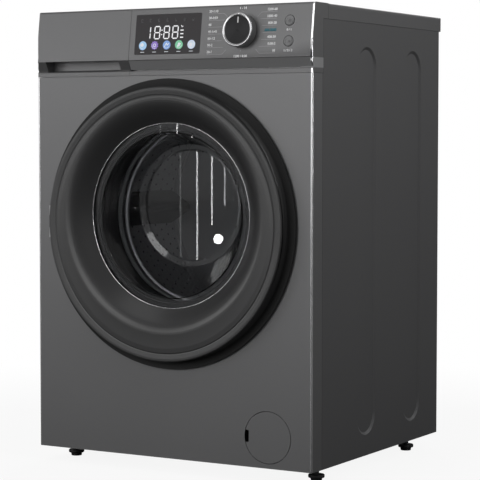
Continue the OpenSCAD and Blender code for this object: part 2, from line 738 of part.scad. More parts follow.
// Quarter bend of the same pipe: from (bend, 0) to (0, bend) in the plane of x and y
module pipe_bend(r, bore, bend) rotate_extrude(angle = 90, $fn = 72) translate([bend, 0]) difference() {
  circle(r, $fn = 48);
  circle(bore, $fn = 48);
}

// Pump: filter chamber, volute, motor casing and the elbow that takes water from the sump hose
module drain_pump() color("#d8d9da") {
  r = chamber_r + chamber_wall;
  y_end = volute_y + volute_len + pump_motor_len;
  top_z = elbow_z + 12;
  difference() {
    union() {
      bar_y(r, chamber_y, y_end - pump_motor_len + 4, filter_x, z_filter, fn = 72);
      bar_y(r - 6, volute_y + volute_len, y_end, filter_x, z_filter, fn = 72);
      for (y = [chamber_y + 22, volute_y + volute_len + 22])
        block([filter_x - 12, y - 8, z_filter - r - 1 + fit], [filter_x + 12, y + 8, z_filter - 10]);
      bar_x(sump_r - 5, sump_x, filter_x - 10, sump_y, z_filter);
      bar_z(sump_r - 3, z_filter - sump_r + 3, top_z, sump_x, sump_y);
      bar_x(drain_r, filter_x + 10, drain_x - 20 - fit, outlet_y, drain_z);
      turned([[r - 1, chamber_y], [filter_r + 1.2, chamber_y], [filter_r + 1.2, sheet_t + fit],
        [filter_r + 3.2, sheet_t + fit], [filter_r + 3.2, chamber_y + 2], [r - 1, chamber_y + 2]],
        z_filter, filter_x);
    }
    bar_y(chamber_r, chamber_y - 1, volute_y - 2, filter_x, z_filter, fn = 72);
    bar_y(impeller_r + 3, volute_y - 3, volute_y + volute_len, filter_x, z_filter, fn = 72);
    bar_y(2 + running, volute_y, volute_y + volute_len + 14, filter_x, z_filter, fn = 24);
    bar_x(sump_r - 8, sump_x, filter_x - 5, sump_y, z_filter);
    bar_z(sump_r - 6, z_filter - sump_r + 6, top_z + 1, sump_x, sump_y);
    bar_x(drain_r - 3, filter_x + 11, drain_x, outlet_y, drain_z);
  }
}

// Drain hose: elbow behind the pump, straight run to the outlet in the rear wall
module drain_hose() color("#26272a") {
  bend = 20;
  y0 = outlet_y;
  translate([drain_x - bend, y0 + bend, drain_z]) rotate([0, 0, -90]) pipe_bend(drain_r, drain_r - 3, bend);
  translate([drain_x, y0 + bend, drain_z]) rotate([-90, 0, 0])
    pipe(drain_r, drain_r - 3, cabinet_d + top_overhang - 3 - y0 - bend);
  translate([drain_x, cabinet_d - 12, drain_z]) rotate([-90, 0, 0]) pipe(drain_r + 3, drain_r - 1, 4);
}

// Door lock behind the front panel: housing with the slot that the hook enters
module door_lock() color("#e6e4dc") difference() {
  y0 = z_dish + sheet_t + fit;
  block([hook_x - 17, y0, z_door - 36], [hook_x + 21, y0 + 34, z_door + 36]);
  block([hook_x - hook_half - 3, y0 - 1, z_door - 8], [hook_x + hook_half + 5, y0 + 29, z_door + 8]);
  for (z = [-27, 27]) bar_y(screw_r + fit, y0 - 1, y0 + 40, hook_x, z_door + z, fn = 24);
}

// Gland for the supply cable in the rear wall, closed by its cap
module cord_gland() color("#1c1c1e") {
  bar_y(gland_r, cabinet_d - 14, cabinet_d + 4, -tray_x, valve_z);
  bar_y(gland_r + 4, cabinet_d + fit, cabinet_d + 6, -tray_x, valve_z);
  bar_y(gland_r + 4, cabinet_d - 8, cabinet_d - sheet_t - fit, -tray_x, valve_z, fn = 6);
}

// Caps over the four holes for the transit bolts
module transit_plugs() color("#3a3b3e") for (p = transit_places()) {
  bar_y(13.5, cabinet_d + fit, cabinet_d + 2.5, p[0], p[1]);
  difference() {
    bar_y(10.5, cabinet_d - 8, cabinet_d + 1, p[0], p[1]);
    bar_y(8.5, cabinet_d - 9, cabinet_d, p[0], p[1]);
  }
}

// Pan head screw along y, its head at the rear
module case_screw(x, z, y, shank) {
  bar_y(screw_head_r, y, y + 2.4, x, z, fn = 32);
  difference() {
    bar_y(screw_r, y - shank, y + 1, x, z, fn = 24);
  }
}

// Screws of the access cover
module case_screws() color("#b9bbbe") {
  for (p = cover_screws()) case_screw(p[0], p[1], cabinet_d + fit + sheet_t + 0.1, 7);
}

// Hinge on the front panel: plate, knuckle and the pin that the door turns on
module hinge_bracket() color("#9a9c9f") translate([hinge_x, 0, z_door]) {
  block([-3, -1.8, -hinge_outer], [9, -fit, hinge_outer]);
  difference() {
    union() {
      block([-2.5, hinge_y, -hinge_inner + fit], [2.5, -1, hinge_inner - fit]);
      translate([0, hinge_y, 0])
        cylinder(r = hinge_knuckle_r, h = 2 * (hinge_inner - fit), center = true, $fn = 32);
    }
  }
  translate([0, hinge_y, 0]) cylinder(r = hinge_pin_r, h = 2 * hinge_outer + 4, center = true, $fn = 32);
}

// Rubber gasket between the front panel and the tub: lip at the door, folds, collar on the tub
module door_gasket() color("#3b3c3e") {
  y0 = frame_y + fit;
  y1 = z_dish + flange_h + fit;
  r0 = opening_r - 7;
  outer_r = opening_r + sheet_t + fit;
  fold_y = [y1 + 4, tub_front_y - tub_collar];
  t = 3;
  wave = [for (i = [0:16]) let (u = i / 16)
    [opening_r + 5 + 4 * sin(720 * u), fold_y[0] + (fold_y[1] - fold_y[0]) * u]];
  turned(concat([[r0, y0], [opening_r - fit, y0], [opening_r - fit, y1], [outer_r, y1],
    [outer_r, z_dish + sheet_t + fit], [outer_r + t + 1, z_dish + sheet_t + fit]],
    [for (p = wave) [p[0] + t, p[1]]],
    [[opening_r + 8, tub_front_y - tub_collar], [opening_r + 8, tub_front_y - fit],
    [opening_r + 5, tub_front_y - fit], [opening_r + 5, tub_front_y - tub_collar - 1]],
    [for (i = [15:-1:1]) wave[i]],
    [[r0 + 3, y1 + 3], [r0, y1 - 4]]), z_window);
}

// One suspension spring: hooks at both ends, straight ends and the coil
module spring(x) translate([x, brace_y, 0]) {
  top = spring_top_z - hook_r - 12;
  low = spring_low_z + hook_r + 12;
  for (z = [spring_top_z, spring_low_z]) translate([0, 0, z]) rotate([90, 0, 0])
    rotate_extrude($fn = 48) translate([hook_r, 0]) circle(spring_wire_r, $fn = 16);
  bar_z(spring_wire_r, spring_low_z + hook_r, low, fn = 16);
  bar_z(spring_wire_r, top, spring_top_z - hook_r, fn = 16);
  for (z = [low, top]) bar_x(spring_wire_r, 0, spring_coil_r, 0, z, fn = 16);
  coil(11, spring_coil_r, spring_wire_r, low, top);
}
module suspension_springs() color("#b5b7ba") for (s = [-1, 1]) spring(s * spring_x);

// Hose from the tub's sump to the pump's elbow
module sump_hose() color("#2b2c2e") translate([sump_x, sump_y, 0]) {
  z0 = elbow_z;
  z1 = sump_z - 6;
  r = sump_r + fit;
  wave = [for (i = [0:16]) let (u = i / 16) [r + 2 - 2 * cos(1080 * u), z0 + 16 + (z1 - z0 - 32) * u]];
  rotate_extrude($fn = 48) polygon(concat([[r - 3, z0], [r - 3, z0 + 13]], wave, [[r, z1], [r + 3, z1]],
    [for (i = [16:-1:0]) [wave[i][0] + 3, wave[i][1]]], [[r, z0]]));
}

// Hose from the dispenser's spout to the tub
module dispenser_hose() color("#2b2c2e") translate([spout_x, spout_y, 0]) {
  r = spout_r + fit;
  z0 = spout_z - 22;
  z1 = spout_z + 12;
  rotate_extrude($fn = 48) polygon([[r, z0], [r, z1], [r + hose_t, z1], [r + hose_t, z0 + 24], [r + 6, z0 + 20],
    [r + hose_t, z0 + 16], [r + 6, z0 + 12], [r + hose_t, z0 + 8], [r + hose_t, z0]]);
}

// Levelling foot: base, disc, threaded stem and lock nut
module foot(p) color("#202022") translate([p[0], p[1], 0]) {
  cylinder(r1 = foot_r - 5, r2 = foot_r - 4, h = 6.5, $fn = 48);
  rotate_extrude($fn = 48) polygon(concat([[0, 6]], [[foot_r - 1, 6]],
    arc(foot_r - 1.5, 7.5, 1.5, -60, 0, n = 3), arc(foot_r - 1.5, 10.5, 1.5, 0, 90, n = 4), [[0, 12]]));
  cylinder(r = foot_stem_r, h = z_base + 26 + foot_travel, $fn = 40);
  translate([0, 0, z_base - 5 - fit]) cylinder(r = foot_stem_r + 4, h = 5, $fn = 6);
}
module foot_front_left() foot(foot_places()[0]);
module foot_rear_left() foot(foot_places()[1]);
module foot_front_right() foot(foot_places()[2]);
module foot_rear_right() foot(foot_places()[3]);

// ---------------------------------------------------------------- tub

// Rim that joins the two halves of the tub, with its bolts' bosses
module tub_rim(y0, y1) {
  bar_y(tub_rim_r - 3, y0, y1, 0, z_window, fn = arc_fn);
  for (i = [0:11]) let (a = 15 + 30 * i)
    bar_y(7, y0, y1, (tub_rim_r - 4) * cos(a), z_window + (tub_rim_r - 4) * sin(a), fn = 24);
}

// Front half of the tub: collar for the gasket, sump with its spigot
module tub_front() color("#dcdcd8") difference() {
  y0 = tub_front_y;
  y1 = tub_split_y - fit;
  collar_r = opening_r + 1.5;
  union() {
    turned([[0, y0], [tub_out_r - 5, y0], [tub_out_r, y0 + 5], [tub_out_r, y1], [0, y1]], z_window);
    bar_y(collar_r + 3.2, y0 - tub_collar, y0 + 1, 0, z_window, fn = arc_fn);
    tub_rim(y1 - 8, y1);
    bar_z(sump_r, sump_z - 22, z_window - tub_rise(sump_x), sump_x, sump_y);
    bar_z(sump_r + 14, sump_z, z_window - tub_rise(sump_x), sump_x, sump_y);
    for (i = [0:2]) turned([[tub_out_r - 1, y0 + 30 + i * 30], [tub_out_r + 4, y0 + 30 + i * 30],
      [tub_out_r + 4, y0 + 33 + i * 30], [tub_out_r - 1, y0 + 33 + i * 30]], z_window);
  }
  turned([[0, y0 + tub_wall], [tub_r - 4, y0 + tub_wall], [tub_r, y0 + tub_wall + 4], [tub_r, y1 + 1],
    [0, y1 + 1]], z_window);
  bar_y(collar_r, y0 - tub_collar - 1, y0 + tub_wall + 1, 0, z_window, fn = arc_fn);
  bar_z(sump_r - 3, sump_z - 30, z_window - 100, sump_x, sump_y);
}

// Trough under the drum that holds the heater, shrunk by g
module tub_trough(g)
  block([trough_x - trough_half + g, tub_split_y + 10 + g, trough_z + g],
    [trough_x + trough_half - g, tub_back_y + tub_wall - g, z_window - tub_rise(trough_x - trough_half) + 20]);

// Fin and gusset with the eye that a suspension spring hooks into
module spring_lug() {
  eye_z = spring_low_z - hook_r + spring_wire_r + fit - eye_r;
  difference() {
    union() {
      block([spring_x - 1.5, brace_y - 11, z_window + tub_rise(spring_x) - 8],
        [spring_x + 1.5, brace_y + 11, eye_z + eye_r + 3]);
      plate([[spring_x - 90, z_window + tub_rise(spring_x - 60) - 20], [spring_x, z_window + 20],
        [spring_x, eye_z - eye_r - 3], [spring_x - 62, z_window + tub_rise(spring_x - 60) - 2]],
        brace_y - 2, brace_y + 2);
    }
    bar_x(eye_r, 0, half_w, brace_y, eye_z, fn = 32);
  }
}

// Two ears with a pin between them, which a damper rod's eye hangs on
module damper_lug(s) {
  for (d = [-1, 1]) translate([s * damper_top[0], damper_y + d * (damper_eye_half + 2.5) - 2, 0]) {
    block([-10, 0, damper_top[1]], [10, 4, z_window - tub_rise(damper_top[0] - 10) + 12]);
    bar_y(10, 0, 4, 0, damper_top[1]);
  }
  bar_y(pin_r, damper_y - damper_eye_half - 3, damper_y + damper_eye_half + 3,
    s * damper_top[0], damper_top[1]);
}

// Leg from the tub down to one of the motor's ears
module motor_lug(s, y) {
  x = motor_x + s * 34;
  block([x - 6, y - 8, z_motor + motor_r + 8 + fit], [x + 6, y + 8, z_window - tub_rise(abs(x)) + 8]);
}
function motor_lug_ys() = [motor_y + 12, motor_y + 48];

// Rear half of the tub: ribbed back with the bearing hub, trough, hose spigot and all its lugs
module tub_rear() color("#dcdcd8") difference() {
  union() {
    turned([[0, tub_split_y], [tub_out_r, tub_split_y], [tub_out_r, tub_back_y - 3],
      [tub_out_r - 6, tub_back_y + tub_wall], [0, tub_back_y + tub_wall]], z_window);
    bar_y(hub_r, tub_back_y, hub_end_y, 0, z_window, fn = 72);
    for (i = [0:11]) translate([0, 0, z_window]) rotate([0, 30 * i + 15, 0])
      beam([[tub_back_y + 1, 40], [hub_end_y - 3, 40], [tub_back_y + 12, tub_out_r - 14],
        [tub_back_y + 1, tub_out_r - 14]], -1.75, 1.75);
    tub_rim(tub_split_y, tub_split_y + 8);
    tub_trough(0);
    bar_z(spout_r, z_window + tub_rise(spout_x) - 12, spout_z - 11, spout_x, spout_y);
    both_sides() spring_lug();
    for (s = [-1, 1]) damper_lug(s);
    for (s = [-1, 1], y = motor_lug_ys()) motor_lug(s, y);
  }
  turned([[0, tub_split_y - 1], [tub_r, tub_split_y - 1], [tub_r, tub_back_y - 5],
    [tub_r - 4, tub_back_y], [0, tub_back_y]], z_window);
  tub_trough(tub_wall);
  translate([trough_x, tub_back_y + 20, heater_z]) rotate([90, 0, 0]) linear_extrude(30)
    soft_rect(2 * heater_half + 16, 14, 6.9);
  bar_y(front_bearing_r, front_bearing_y, front_bearing_y + front_bearing_w, 0, z_window, fn = 72);
  bar_y(front_bearing_r, tub_back_y - 6, front_bearing_y + 1, 0, z_window, fn = 72);
  bar_y(rear_bearing_r - 2.5, front_bearing_y, rear_bearing_y + 1, 0, z_window, fn = 72);
  bar_y(rear_bearing_r, rear_bearing_y, hub_end_y + 1, 0, z_window, fn = 72);
  bar_z(spout_r - 3, z_window + 150, spout_z, spout_x, spout_y);
}

// Concrete weight round the gasket, from angle a0 to a1, with its three bolts' bosses
module counterweight(a0, a1) translate([0, tub_front_y - fit, z_window]) rotate([90, 0, 0]) difference() {
  h = tub_front_y - fit - weight_y;
  rotate([0, 0, a0]) rotate_extrude(angle = a1 - a0, $fn = arc_fn)
    polygon([[weight_in_r, 0], [weight_r, 0], [weight_r, h - 6], [weight_r - 6, h],
      [weight_in_r + 6, h], [weight_in_r, h - 6]]);
  for (i = [0:2]) let (a = a0 + 12 + (a1 - a0 - 24) * i / 2, r = (weight_r + weight_in_r) / 2)
    translate([r * cos(a), r * sin(a), h - 14]) cylinder(r = 11, h = 20, $fn = 32);
}
module upper_counterweight() color("#8d8b86") counterweight(32, 148);
module lower_counterweight() color("#8d8b86") counterweight(212, 328);

// Heater: bent rod in the trough, with its seal and terminals at the back
module heater() color("#b0b2b4") translate([trough_x, 0, heater_z]) {
  y0 = tub_split_y + 16 + heater_half + heater_r;
  y1 = tub_back_y + 12;
  for (s = [-1, 1]) bar_y(heater_r, y0, y1, s * heater_half, 0, fn = 24);
  translate([0, y0, 0]) rotate([0, 0, 180]) rotate_extrude(angle = 180, $fn = 48)
    translate([heater_half, 0]) circle(heater_r, $fn = 24);
  translate([0, tub_back_y + tub_wall + 2, 0]) rotate([90, 0, 0]) {
    linear_extrude(tub_wall + 3) soft_rect(2 * heater_half + 16 - 2 * fit, 14 - 2 * fit, 6.5);
  }
  for (x = [-9, 9]) block([x - 3, y1 - 9, -0.5], [x + 3, y1 + 4, 0.5]);
}

// Ball bearing drawn as one sealed ring
module bearing(bore, r, y, w) {
  m = (bore + r) / 2;
  turned([[bore, y], [m - 4, y], [m - 3, y + 1], [m + 3, y + 1], [m + 4, y], [r, y],
    [r, y + w], [m + 4, y + w], [m + 3, y + w - 1], [m - 3, y + w - 1], [m - 4, y + w], [bore, y + w]],
    z_window);
}
module shaft_bearings() color("#c4c6c9") {
  bearing(shaft_r + running, front_bearing_r - 0.02, front_bearing_y, front_bearing_w);
  bearing(rear_shaft_r + running, rear_bearing_r - 0.02, rear_bearing_y, rear_bearing_w);
}

// Lip seal in front of the bearings
module shaft_seal() color("#3a2f2a") turned([[shaft_r + fit, seal_y + 2], [shaft_r + 5, seal_y],
  [front_bearing_r - 0.1, seal_y], [front_bearing_r - 0.1, seal_y + seal_w],
  [shaft_r + 6, seal_y + seal_w], [shaft_r + 4, seal_y + 4], [shaft_r + fit, seal_y + 5]], z_window);

// Motor: finned casing, end bells, ears for the tub's legs, bores for its shaft
module motor_housing() color("#a9abae") difference() {
  union() {
    bar_y(motor_r - 6, motor_y + 10, motor_y + motor_len - 10, motor_x, z_motor, fn = 72);
    for (y = [motor_y + 4, motor_y + motor_len - 16]) bar_y(motor_r - 1, y, y + 12, motor_x, z_motor, fn = 72);
    for (i = [0:5]) bar_y(motor_r, motor_y + 22 + i * 9, motor_y + 25 + i * 9, motor_x, z_motor, fn = 72);
    bar_y(22, motor_y, motor_y + motor_len, motor_x, z_motor, fn = 48);
    for (s = [-1, 1], y = motor_lug_ys())
      block([motor_x + s * 34 - 6, y - 8, z_motor + 10], [motor_x + s * 34 + 6, y + 8, z_motor + motor_r + 8]);
  }
  bar_y(motor_shaft_r + running, motor_y + 6, motor_y + motor_len + 1, motor_x, z_motor, fn = 40);
  bar_y(30, motor_y + 18, motor_y + motor_len - 14, motor_x, z_motor, fn = 48);
}

// Loop round the drum's pulley and the motor's
module belt_loop(g) hull() {
  translate([0, z_window]) circle(pulley_r + g, $fn = 96);
  translate([motor_x, z_motor]) circle(motor_pulley_r + g, $fn = 32);
}
module drive_belt() color("#1d1d1f")
  translate([0, belt_y + belt_w, 0]) rotate([90, 0, 0]) linear_extrude(belt_w)
  difference() {
    belt_loop(fit + belt_t);
    belt_loop(fit);
  }

// ---------------------------------------------------------------- drum

module drum_shell() color("#c8cacd") {
  r = drum_r;
  t = drum_t;
  e = 12;
  lip = 7;
  turned(concat([[r, drum_back_y], [r, drum_y + e]], arc(r - e, drum_y + e, e, 0, -90),
    arc(drum_mouth_r + lip, drum_y + lip, lip, -90, -180), [[drum_mouth_r + t, drum_y + lip]],
    arc(drum_mouth_r + lip, drum_y + lip, lip - t, 180, 270), arc(r - e, drum_y + e, e - t, -90, 0),
    [[r - t, drum_back_y]]), z_window);
}

// Rear wall of the drum, pressed outwards round the spider's hub
module drum_back() color("#bfc1c4") {
  r = drum_r - drum_t - fit;
  y = drum_back_y;
  t = drum_t;
  turned([[0, y - 9], [62, y - 9], [74, y], [r - 9, y], [r - 9, y - 6], [r, y - 6], [r, y - 6 + t],
    [r - 9 + t, y - 6 + t], [r - 9 + t, y + t], [73.6, y + t], [61.6, y - 9 + t], [0, y - 9 + t]], z_window);
}

// Three hollow lifters inside the drum, 120 degrees apart
module drum_lifters() color("#6d6f73") for (a = [90, 210, 330]) {
  r = drum_r - drum_t - fit;
  w = 34;
  seat = sqrt(r * r - w * w);
  translate([0, 0, z_window]) rotate([0, a, 0]) difference() {
    union() plate(concat([[-w, -seat]], [for (i = [1:7]) let (b = asin(w / r) * (i / 4 - 1))
      [r * sin(b), -r * cos(b)]], [[w, -seat]],
      arc(0, -r + lifter_h - 9, 9, 20, 160, n = 8)), drum_y + 22, drum_back_y - 14);
    plate(concat([[-w + 6, -seat - 8], [w - 6, -seat - 8]],
      arc(0, -r + lifter_h - 9, 6, 20, 160, n = 8)), drum_y + 26, drum_back_y - 18);
  }
}

// Three-armed spider behind the drum, bored for the shaft
module drum_spider() color("#a3a5a8") difference() {
  union() {
    bar_y(34, spider_y, spider_y + spider_t + 4, 0, z_window, fn = 72);
    for (i = [0:2]) translate([0, 0, z_window]) rotate([0, 120 * i + 60, 0]) {
      plate([[-22, 10], [22, 10], [11, drum_r - 12], [-11, drum_r - 12]], spider_y, spider_y + 5);
      beam([[spider_y + 4, 10], [spider_y + spider_t, 10], [spider_y + spider_t, 60],
        [spider_y + 7, drum_r - 14], [spider_y + 4, drum_r - 14]], -5, 5);
      plate([[-26, drum_r - 26], [26, drum_r - 26], [22, drum_r - 11], [-22, drum_r - 11]],
        spider_y, spider_y + 5);
    }
  }
  bar_y(shaft_r + running, spider_y + 4, spider_y + 40, 0, z_window, fn = 72);
}

// Stepped shaft: spider end, two bearing seats, pulley seat and bolt
module drum_shaft() color("#8f9194") {
  turned([[0, spider_y + 4 + fit], [shaft_r, spider_y + 4 + fit],
    [shaft_r, front_bearing_y + front_bearing_w + 1], [rear_shaft_r, front_bearing_y + front_bearing_w + 1],
    [rear_shaft_r, hub_end_y + 1.5], [pulley_bore_r, hub_end_y + 1.5],
    [pulley_bore_r, belt_y + belt_w + pulley_rim + 1], [pulley_bore_r + 5, belt_y + belt_w + pulley_rim + 1],
    [pulley_bore_r + 5, belt_y + belt_w + pulley_rim + 7], [0, belt_y + belt_w + pulley_rim + 7]], z_window);
}

// Large pulley: rim with two flanges, web with six holes, bored hub
module drum_pulley() color("#b4b6b9") {
  y0 = belt_y - pulley_rim;
  y1 = belt_y + belt_w + pulley_rim;
  difference() {
    union() {
      turned([[pulley_r - 5, y0], [pulley_r + 3, y0], [pulley_r + 3, belt_y - 0.5], [pulley_r, belt_y - 0.5],
        [pulley_r, belt_y + belt_w + 0.5], [pulley_r + 3, belt_y + belt_w + 0.5], [pulley_r + 3, y1],
        [pulley_r - 5, y1]], z_window);
      bar_y(26, y0, y1, 0, z_window, fn = 72);
      bar_y(pulley_r - 4, y0 + 5, y1 - 7, 0, z_window, fn = arc_fn);
    }
    for (a = [0:60:300]) bar_y(26, y0 - 1, y1 + 1, 86 * cos(a), z_window + 86 * sin(a), fn = 48);
    bar_y(pulley_bore_r + running, y0 - 1, y1 + 1, 0, z_window, fn = 72);
  }
}

// Motor's rotor shaft with its ribbed pulley
module motor_rotor() color("#9b9da0") {
  bar_y(motor_shaft_r, motor_y + 7, belt_y + belt_w + pulley_rim, motor_x, z_motor, fn = 40);
  bar_y(26, motor_y + 22, motor_y + motor_len - 20, motor_x, z_motor, fn = 48);
  turned([[0, belt_y - pulley_rim], [motor_pulley_r + 3, belt_y - pulley_rim], [motor_pulley_r + 3, belt_y - 0.5],
    [motor_pulley_r, belt_y - 0.5], [motor_pulley_r, belt_y + belt_w + 0.5],
    [motor_pulley_r + 3, belt_y + belt_w + 0.5], [motor_pulley_r + 3, belt_y + belt_w + pulley_rim],
    [0, belt_y + belt_w + pulley_rim]], z_motor, motor_x);
}

// Places a damper: z along its axis from the lower pin
module along_damper(s) translate([s * damper_base[0], damper_y, damper_base[1]])
  rotate([0, -s * damper_lean, 0]) children();
module damper_cylinder(s) color("#5b5d60") along_damper(s) difference() {
  union() {
    rotate([90, 0, 0]) cylinder(r = damper_eye_r, h = 2 * damper_eye_half, center = true, $fn = 48);
    cylinder(r = damper_eye_half - 1, h = damper_eye_r + 6, $fn = 48);
    translate([0, 0, damper_eye_r + 4]) cylinder(r = damper_r, h = damper_tube - damper_eye_r - 4, $fn = 48);
  }
  rotate([90, 0, 0]) cylinder(r = pin_r + running, h = 80, center = true, $fn = 40);
  translate([0, 0, 24]) cylinder(r = damper_r - 3, h = damper_tube - 24 - 8, $fn = 48);
  translate([0, 0, 30]) cylinder(r = damper_rod_r + running, h = damper_tube, $fn = 40);
}
module damper_rod(s) color("#8f9194") along_damper(s) difference() {
  union() {
    translate([0, 0, damper_len]) rotate([90, 0, 0])
      cylinder(r = damper_eye_r - 1, h = 2 * damper_eye_half, center = true, $fn = 48);
    translate([0, 0, 44]) cylinder(r = damper_rod_r, h = damper_len - 44 - 8, $fn = 40);
    translate([0, 0, 46]) cylinder(r = damper_r - 3 - running, h = 22, $fn = 48);
  }
  translate([0, 0, damper_len]) rotate([90, 0, 0])
    cylinder(r = pin_r + pin_gap, h = 80, center = true, $fn = 40);
}
module damper_cylinder_left() damper_cylinder(-1);
module damper_cylinder_right() damper_cylinder(1);
module damper_rod_left() damper_rod(-1);
module damper_rod_right() damper_rod(1);

// ---------------------------------------------------------------- door

// Wall of the ring's mouth, from the window out to the ring's face; pushed back by g
function mouth_wall(g, n = 12) = [for (i = [0:n]) let (u = i / n)
  [window_r + (ring_mouth_r - window_r) * u + g * (1 - u) + 0.3 * g,
  g * (0.2 + 0.8 * u) - door_bulge * pow(sin(90 * u), 1.15)]];

// Door ring: broad face with a crease, mouth sinking to the window, side wall with a finger scoop
module door_ring() color("#47484a") {
  w = door_wall;
  f = -door_bulge;
  scoop_shift = 15.5;
  scoop_r = rim_front_r + 8;
  difference() {
    turned(concat([[0, f], [crease_r - 10, f], [crease_r - 2, f + 0.6], [crease_r, f + 1.6],
      [crease_r + 2, f + 0.9], [rim_front_r - 6, f]], arc(rim_front_r - 3, f + 3, 3, -90, -10, n = 5),
      bow(door_r, f + 5, door_r - rim_front_r, 19, 176, 98, n = 8),
      [[door_r, rim_back_y - 2], [door_r, rim_back_y], [0, rim_back_y]]), z_door);
    turned(concat([[0, f - 5], [ring_mouth_r, f - 5]], [for (i = [12:-1:0]) mouth_wall(0)[i]],
      [[window_r, 5], [0, 5]]), z_window);
    turned([[0, f + w], [crease_r - 9, f + w], [crease_r, f + w + 1.6], [rim_front_r - 8, f + w + 1],
      [cavity_r, f + w + 4], [cavity_r, 5], [0, 5]], z_door);
    turned(concat([[scoop_r + 30, f + 4]], bow(scoop_r + 8, f + 14, 16, 10, -90, -270, n = 10),
      [[scoop_r + 30, f + 24]]), z_door + scoop_shift * sin(30), -scoop_shift * cos(30));
    block([-door_r - 5, hinge_y - 6, z_door - hinge_outer - 3],
      [6 - cavity_r, 5, z_door + hinge_outer + 3]);
  }
  turned(concat(mouth_wall(0), [for (i = [12:-1:0]) mouth_wall(w)[i]], [[window_r + w + 1, 1], [window_r, 1]]),
    z_window);
}

// Rear cover of the door: seat for the glass, rim that closes the ring
module door_frame() color("#37383a") difference() {
  w = door_wall;
  seat_y = glass_y + glass_t + fit;
  turned([[0, frame_y], [0, seat_y], [frame_r - w, seat_y], [frame_r - w, rim_back_y - 3],
    [cavity_r - fit, rim_back_y - 3], [cavity_r - fit, rim_back_y - fit], [frame_r, rim_back_y - fit],
    [frame_r, frame_y - 2], [frame_r - 2, frame_y]], z_door);
  bar_y(frame_hole_r, -30, 30, 0, z_window, fn = arc_fn);
}

// Round section of the bowl, r shrunk by g, at depth y
module bowl_ring(r, y, rise) translate([0, y, z_window + rise]) rotate([-90, 0, 0]) cylinder(r = r, h = 0.2, $fn = 72);
module bowl_solid(g) hull() {
  bowl_ring(bowl_mouth_r - g, glass_y - (g > 0 ? 1 : 0), 0);
  bowl_ring(bowl_end_r - g, bowl_d - 13 - g, bowl_rise * 0.9);
  bowl_ring(bowl_end_r - 4 - g, bowl_d - 5 - g, bowl_rise);
  bowl_ring(bowl_end_r - 16 - g, bowl_d - g, bowl_rise);
}

// Glass: flange held between ring and frame, deep bowl that slopes up to its inner end
module door_glass() color("#24282b") difference() {
  union() {
    bar_y(glass_flange_r, glass_y, glass_y + glass_t, 0, z_window, fn = arc_fn);
    bowl_solid(0);
  }
  bowl_solid(glass_t);
}

// Steel arm with two knuckles, from the hinge pin to the door's frame
module door_hinge_arm() color("#9a9c9f") translate([0, 0, z_door]) difference() {
  pad_x = -frame_r - 6;
  union() {
    block([hinge_x, hinge_y - 1.5, -hinge_outer], [pad_x + 22, hinge_y + 1.5, hinge_outer]);
    for (s = [-1, 1]) translate([hinge_x, hinge_y, s * (hinge_inner + hinge_outer) / 2])
      cylinder(r = hinge_knuckle_r, h = hinge_outer - hinge_inner, center = true, $fn = 32);
    for (z = [-22, 22]) bar_y(5, hinge_y + 1, rim_back_y - 3 - fit, pad_x, z, fn = 32);
  }
  block([hinge_x - 8, hinge_y - 8, -hinge_inner], [hinge_x + 8, hinge_y + 8, hinge_inner]);
  translate([hinge_x, hinge_y, 0]) cylinder(r = hinge_pin_r + running, h = 200, center = true, $fn = 32);
}

// Latch hook behind the door's frame
module door_hook() color("#b9bbbe") translate([hook_x, frame_y + fit, z_door]) {
  block([-hook_half, 0, -12], [hook_half, 2.2, 12]);
  linear_extrude(9, center = true)
    polygon([[-4, 1], [4, 1], [4, 12], [7, 15], [5, 20], [0, 22], [-4, 20]]);
}

// ---------------------------------------------------------------- drawer

// Detergent tray: three compartments, flow-out notch at the rear, siphon cap
module drawer_tray() color("#dfe6ea") translate([tray_x, tray_y + fit, tray_z]) {
  w = tray_wall;
  half = tray_w / 2;
  wells = [[-half + w, -half + 68], [-half + 68 + w, half - 52], [half - 52 + w, half - w]];
  difference() {
    block([-half, 0, 0], [half, tray_len, tray_h]);
    for (p = wells) block([p[0], w + 4, w], [p[1], tray_len - w, tray_h + 1]);
    for (p = wells) if (p[0] < half - 60)
      block([p[0] + 8, tray_len - w - 1, w + 6], [p[1] - 8, tray_len + 1, tray_h - 22]);
  }
  difference() {
    block([half - 52 + w - 1, tray_len - 74, tray_h - 12], [half - w + 1, tray_len - w + 1, tray_h - 9]);
    bar_z(8, 0, tray_h, half - 27, tray_len - 38, fn = 32);
  }
  bar_z(5, w - 0.5, tray_h - 14, half - 27, tray_len - 38, fn = 32);
}

// Drawer front: end of the control panel with the finger recess under its lip
module drawer_front() color("#707173") difference() {
  w = fascia_wall;
  x1 = drawer_x;
  grip_x0 = -half_w + 22;
  grip_x1 = drawer_x - 22;
  grip_top = lip_z + 20;
  intersection() {
    union() {
      beam(fascia_outline(), -half_w, x1);
      beam([[0.6, strip_z - 1], [groove_y, strip_z + groove_h + 0.5], [drawer_face_t, strip_z + groove_h + 0.5],
        [drawer_face_t, strip_z - 1]], -half_w, x1);
    }
    translate([0, -20, z_seam]) linear_extrude(fascia_h) {
      translate([corner_r - half_w, 0]) square([half_w + x1 - corner_r, 20 + drawer_face_t]);
      translate([-half_w, 19 + corner_r]) square([half_w + x1, drawer_face_t + 1 - corner_r]);
      translate([corner_r - half_w, 19 + corner_r]) circle(corner_r, $fn = 48);
    }
  }
  beam([[drawer_face_t + 5, z_top - w], [face_y(z_top) + w + 3, z_top - w],
    [face_y(grip_top) + w + 1, grip_top + w], [drawer_face_t + 5, grip_top + w]], w - half_w, x1 - w);
  beam([[lip_y - 9, strip_z + 1], [lip_y - 9, lip_z + 1], [lip_y + w, lip_z + 1], [lip_y + w + 3, grip_top],
    [drawer_face_t - w - 4, grip_top], [drawer_face_t - w, grip_top - 4], [drawer_face_t - w, strip_z + 4],
    [drawer_face_t - w - 3, strip_z + 1]], grip_x0, grip_x1);
}

// ---------------------------------------------------------------- controls

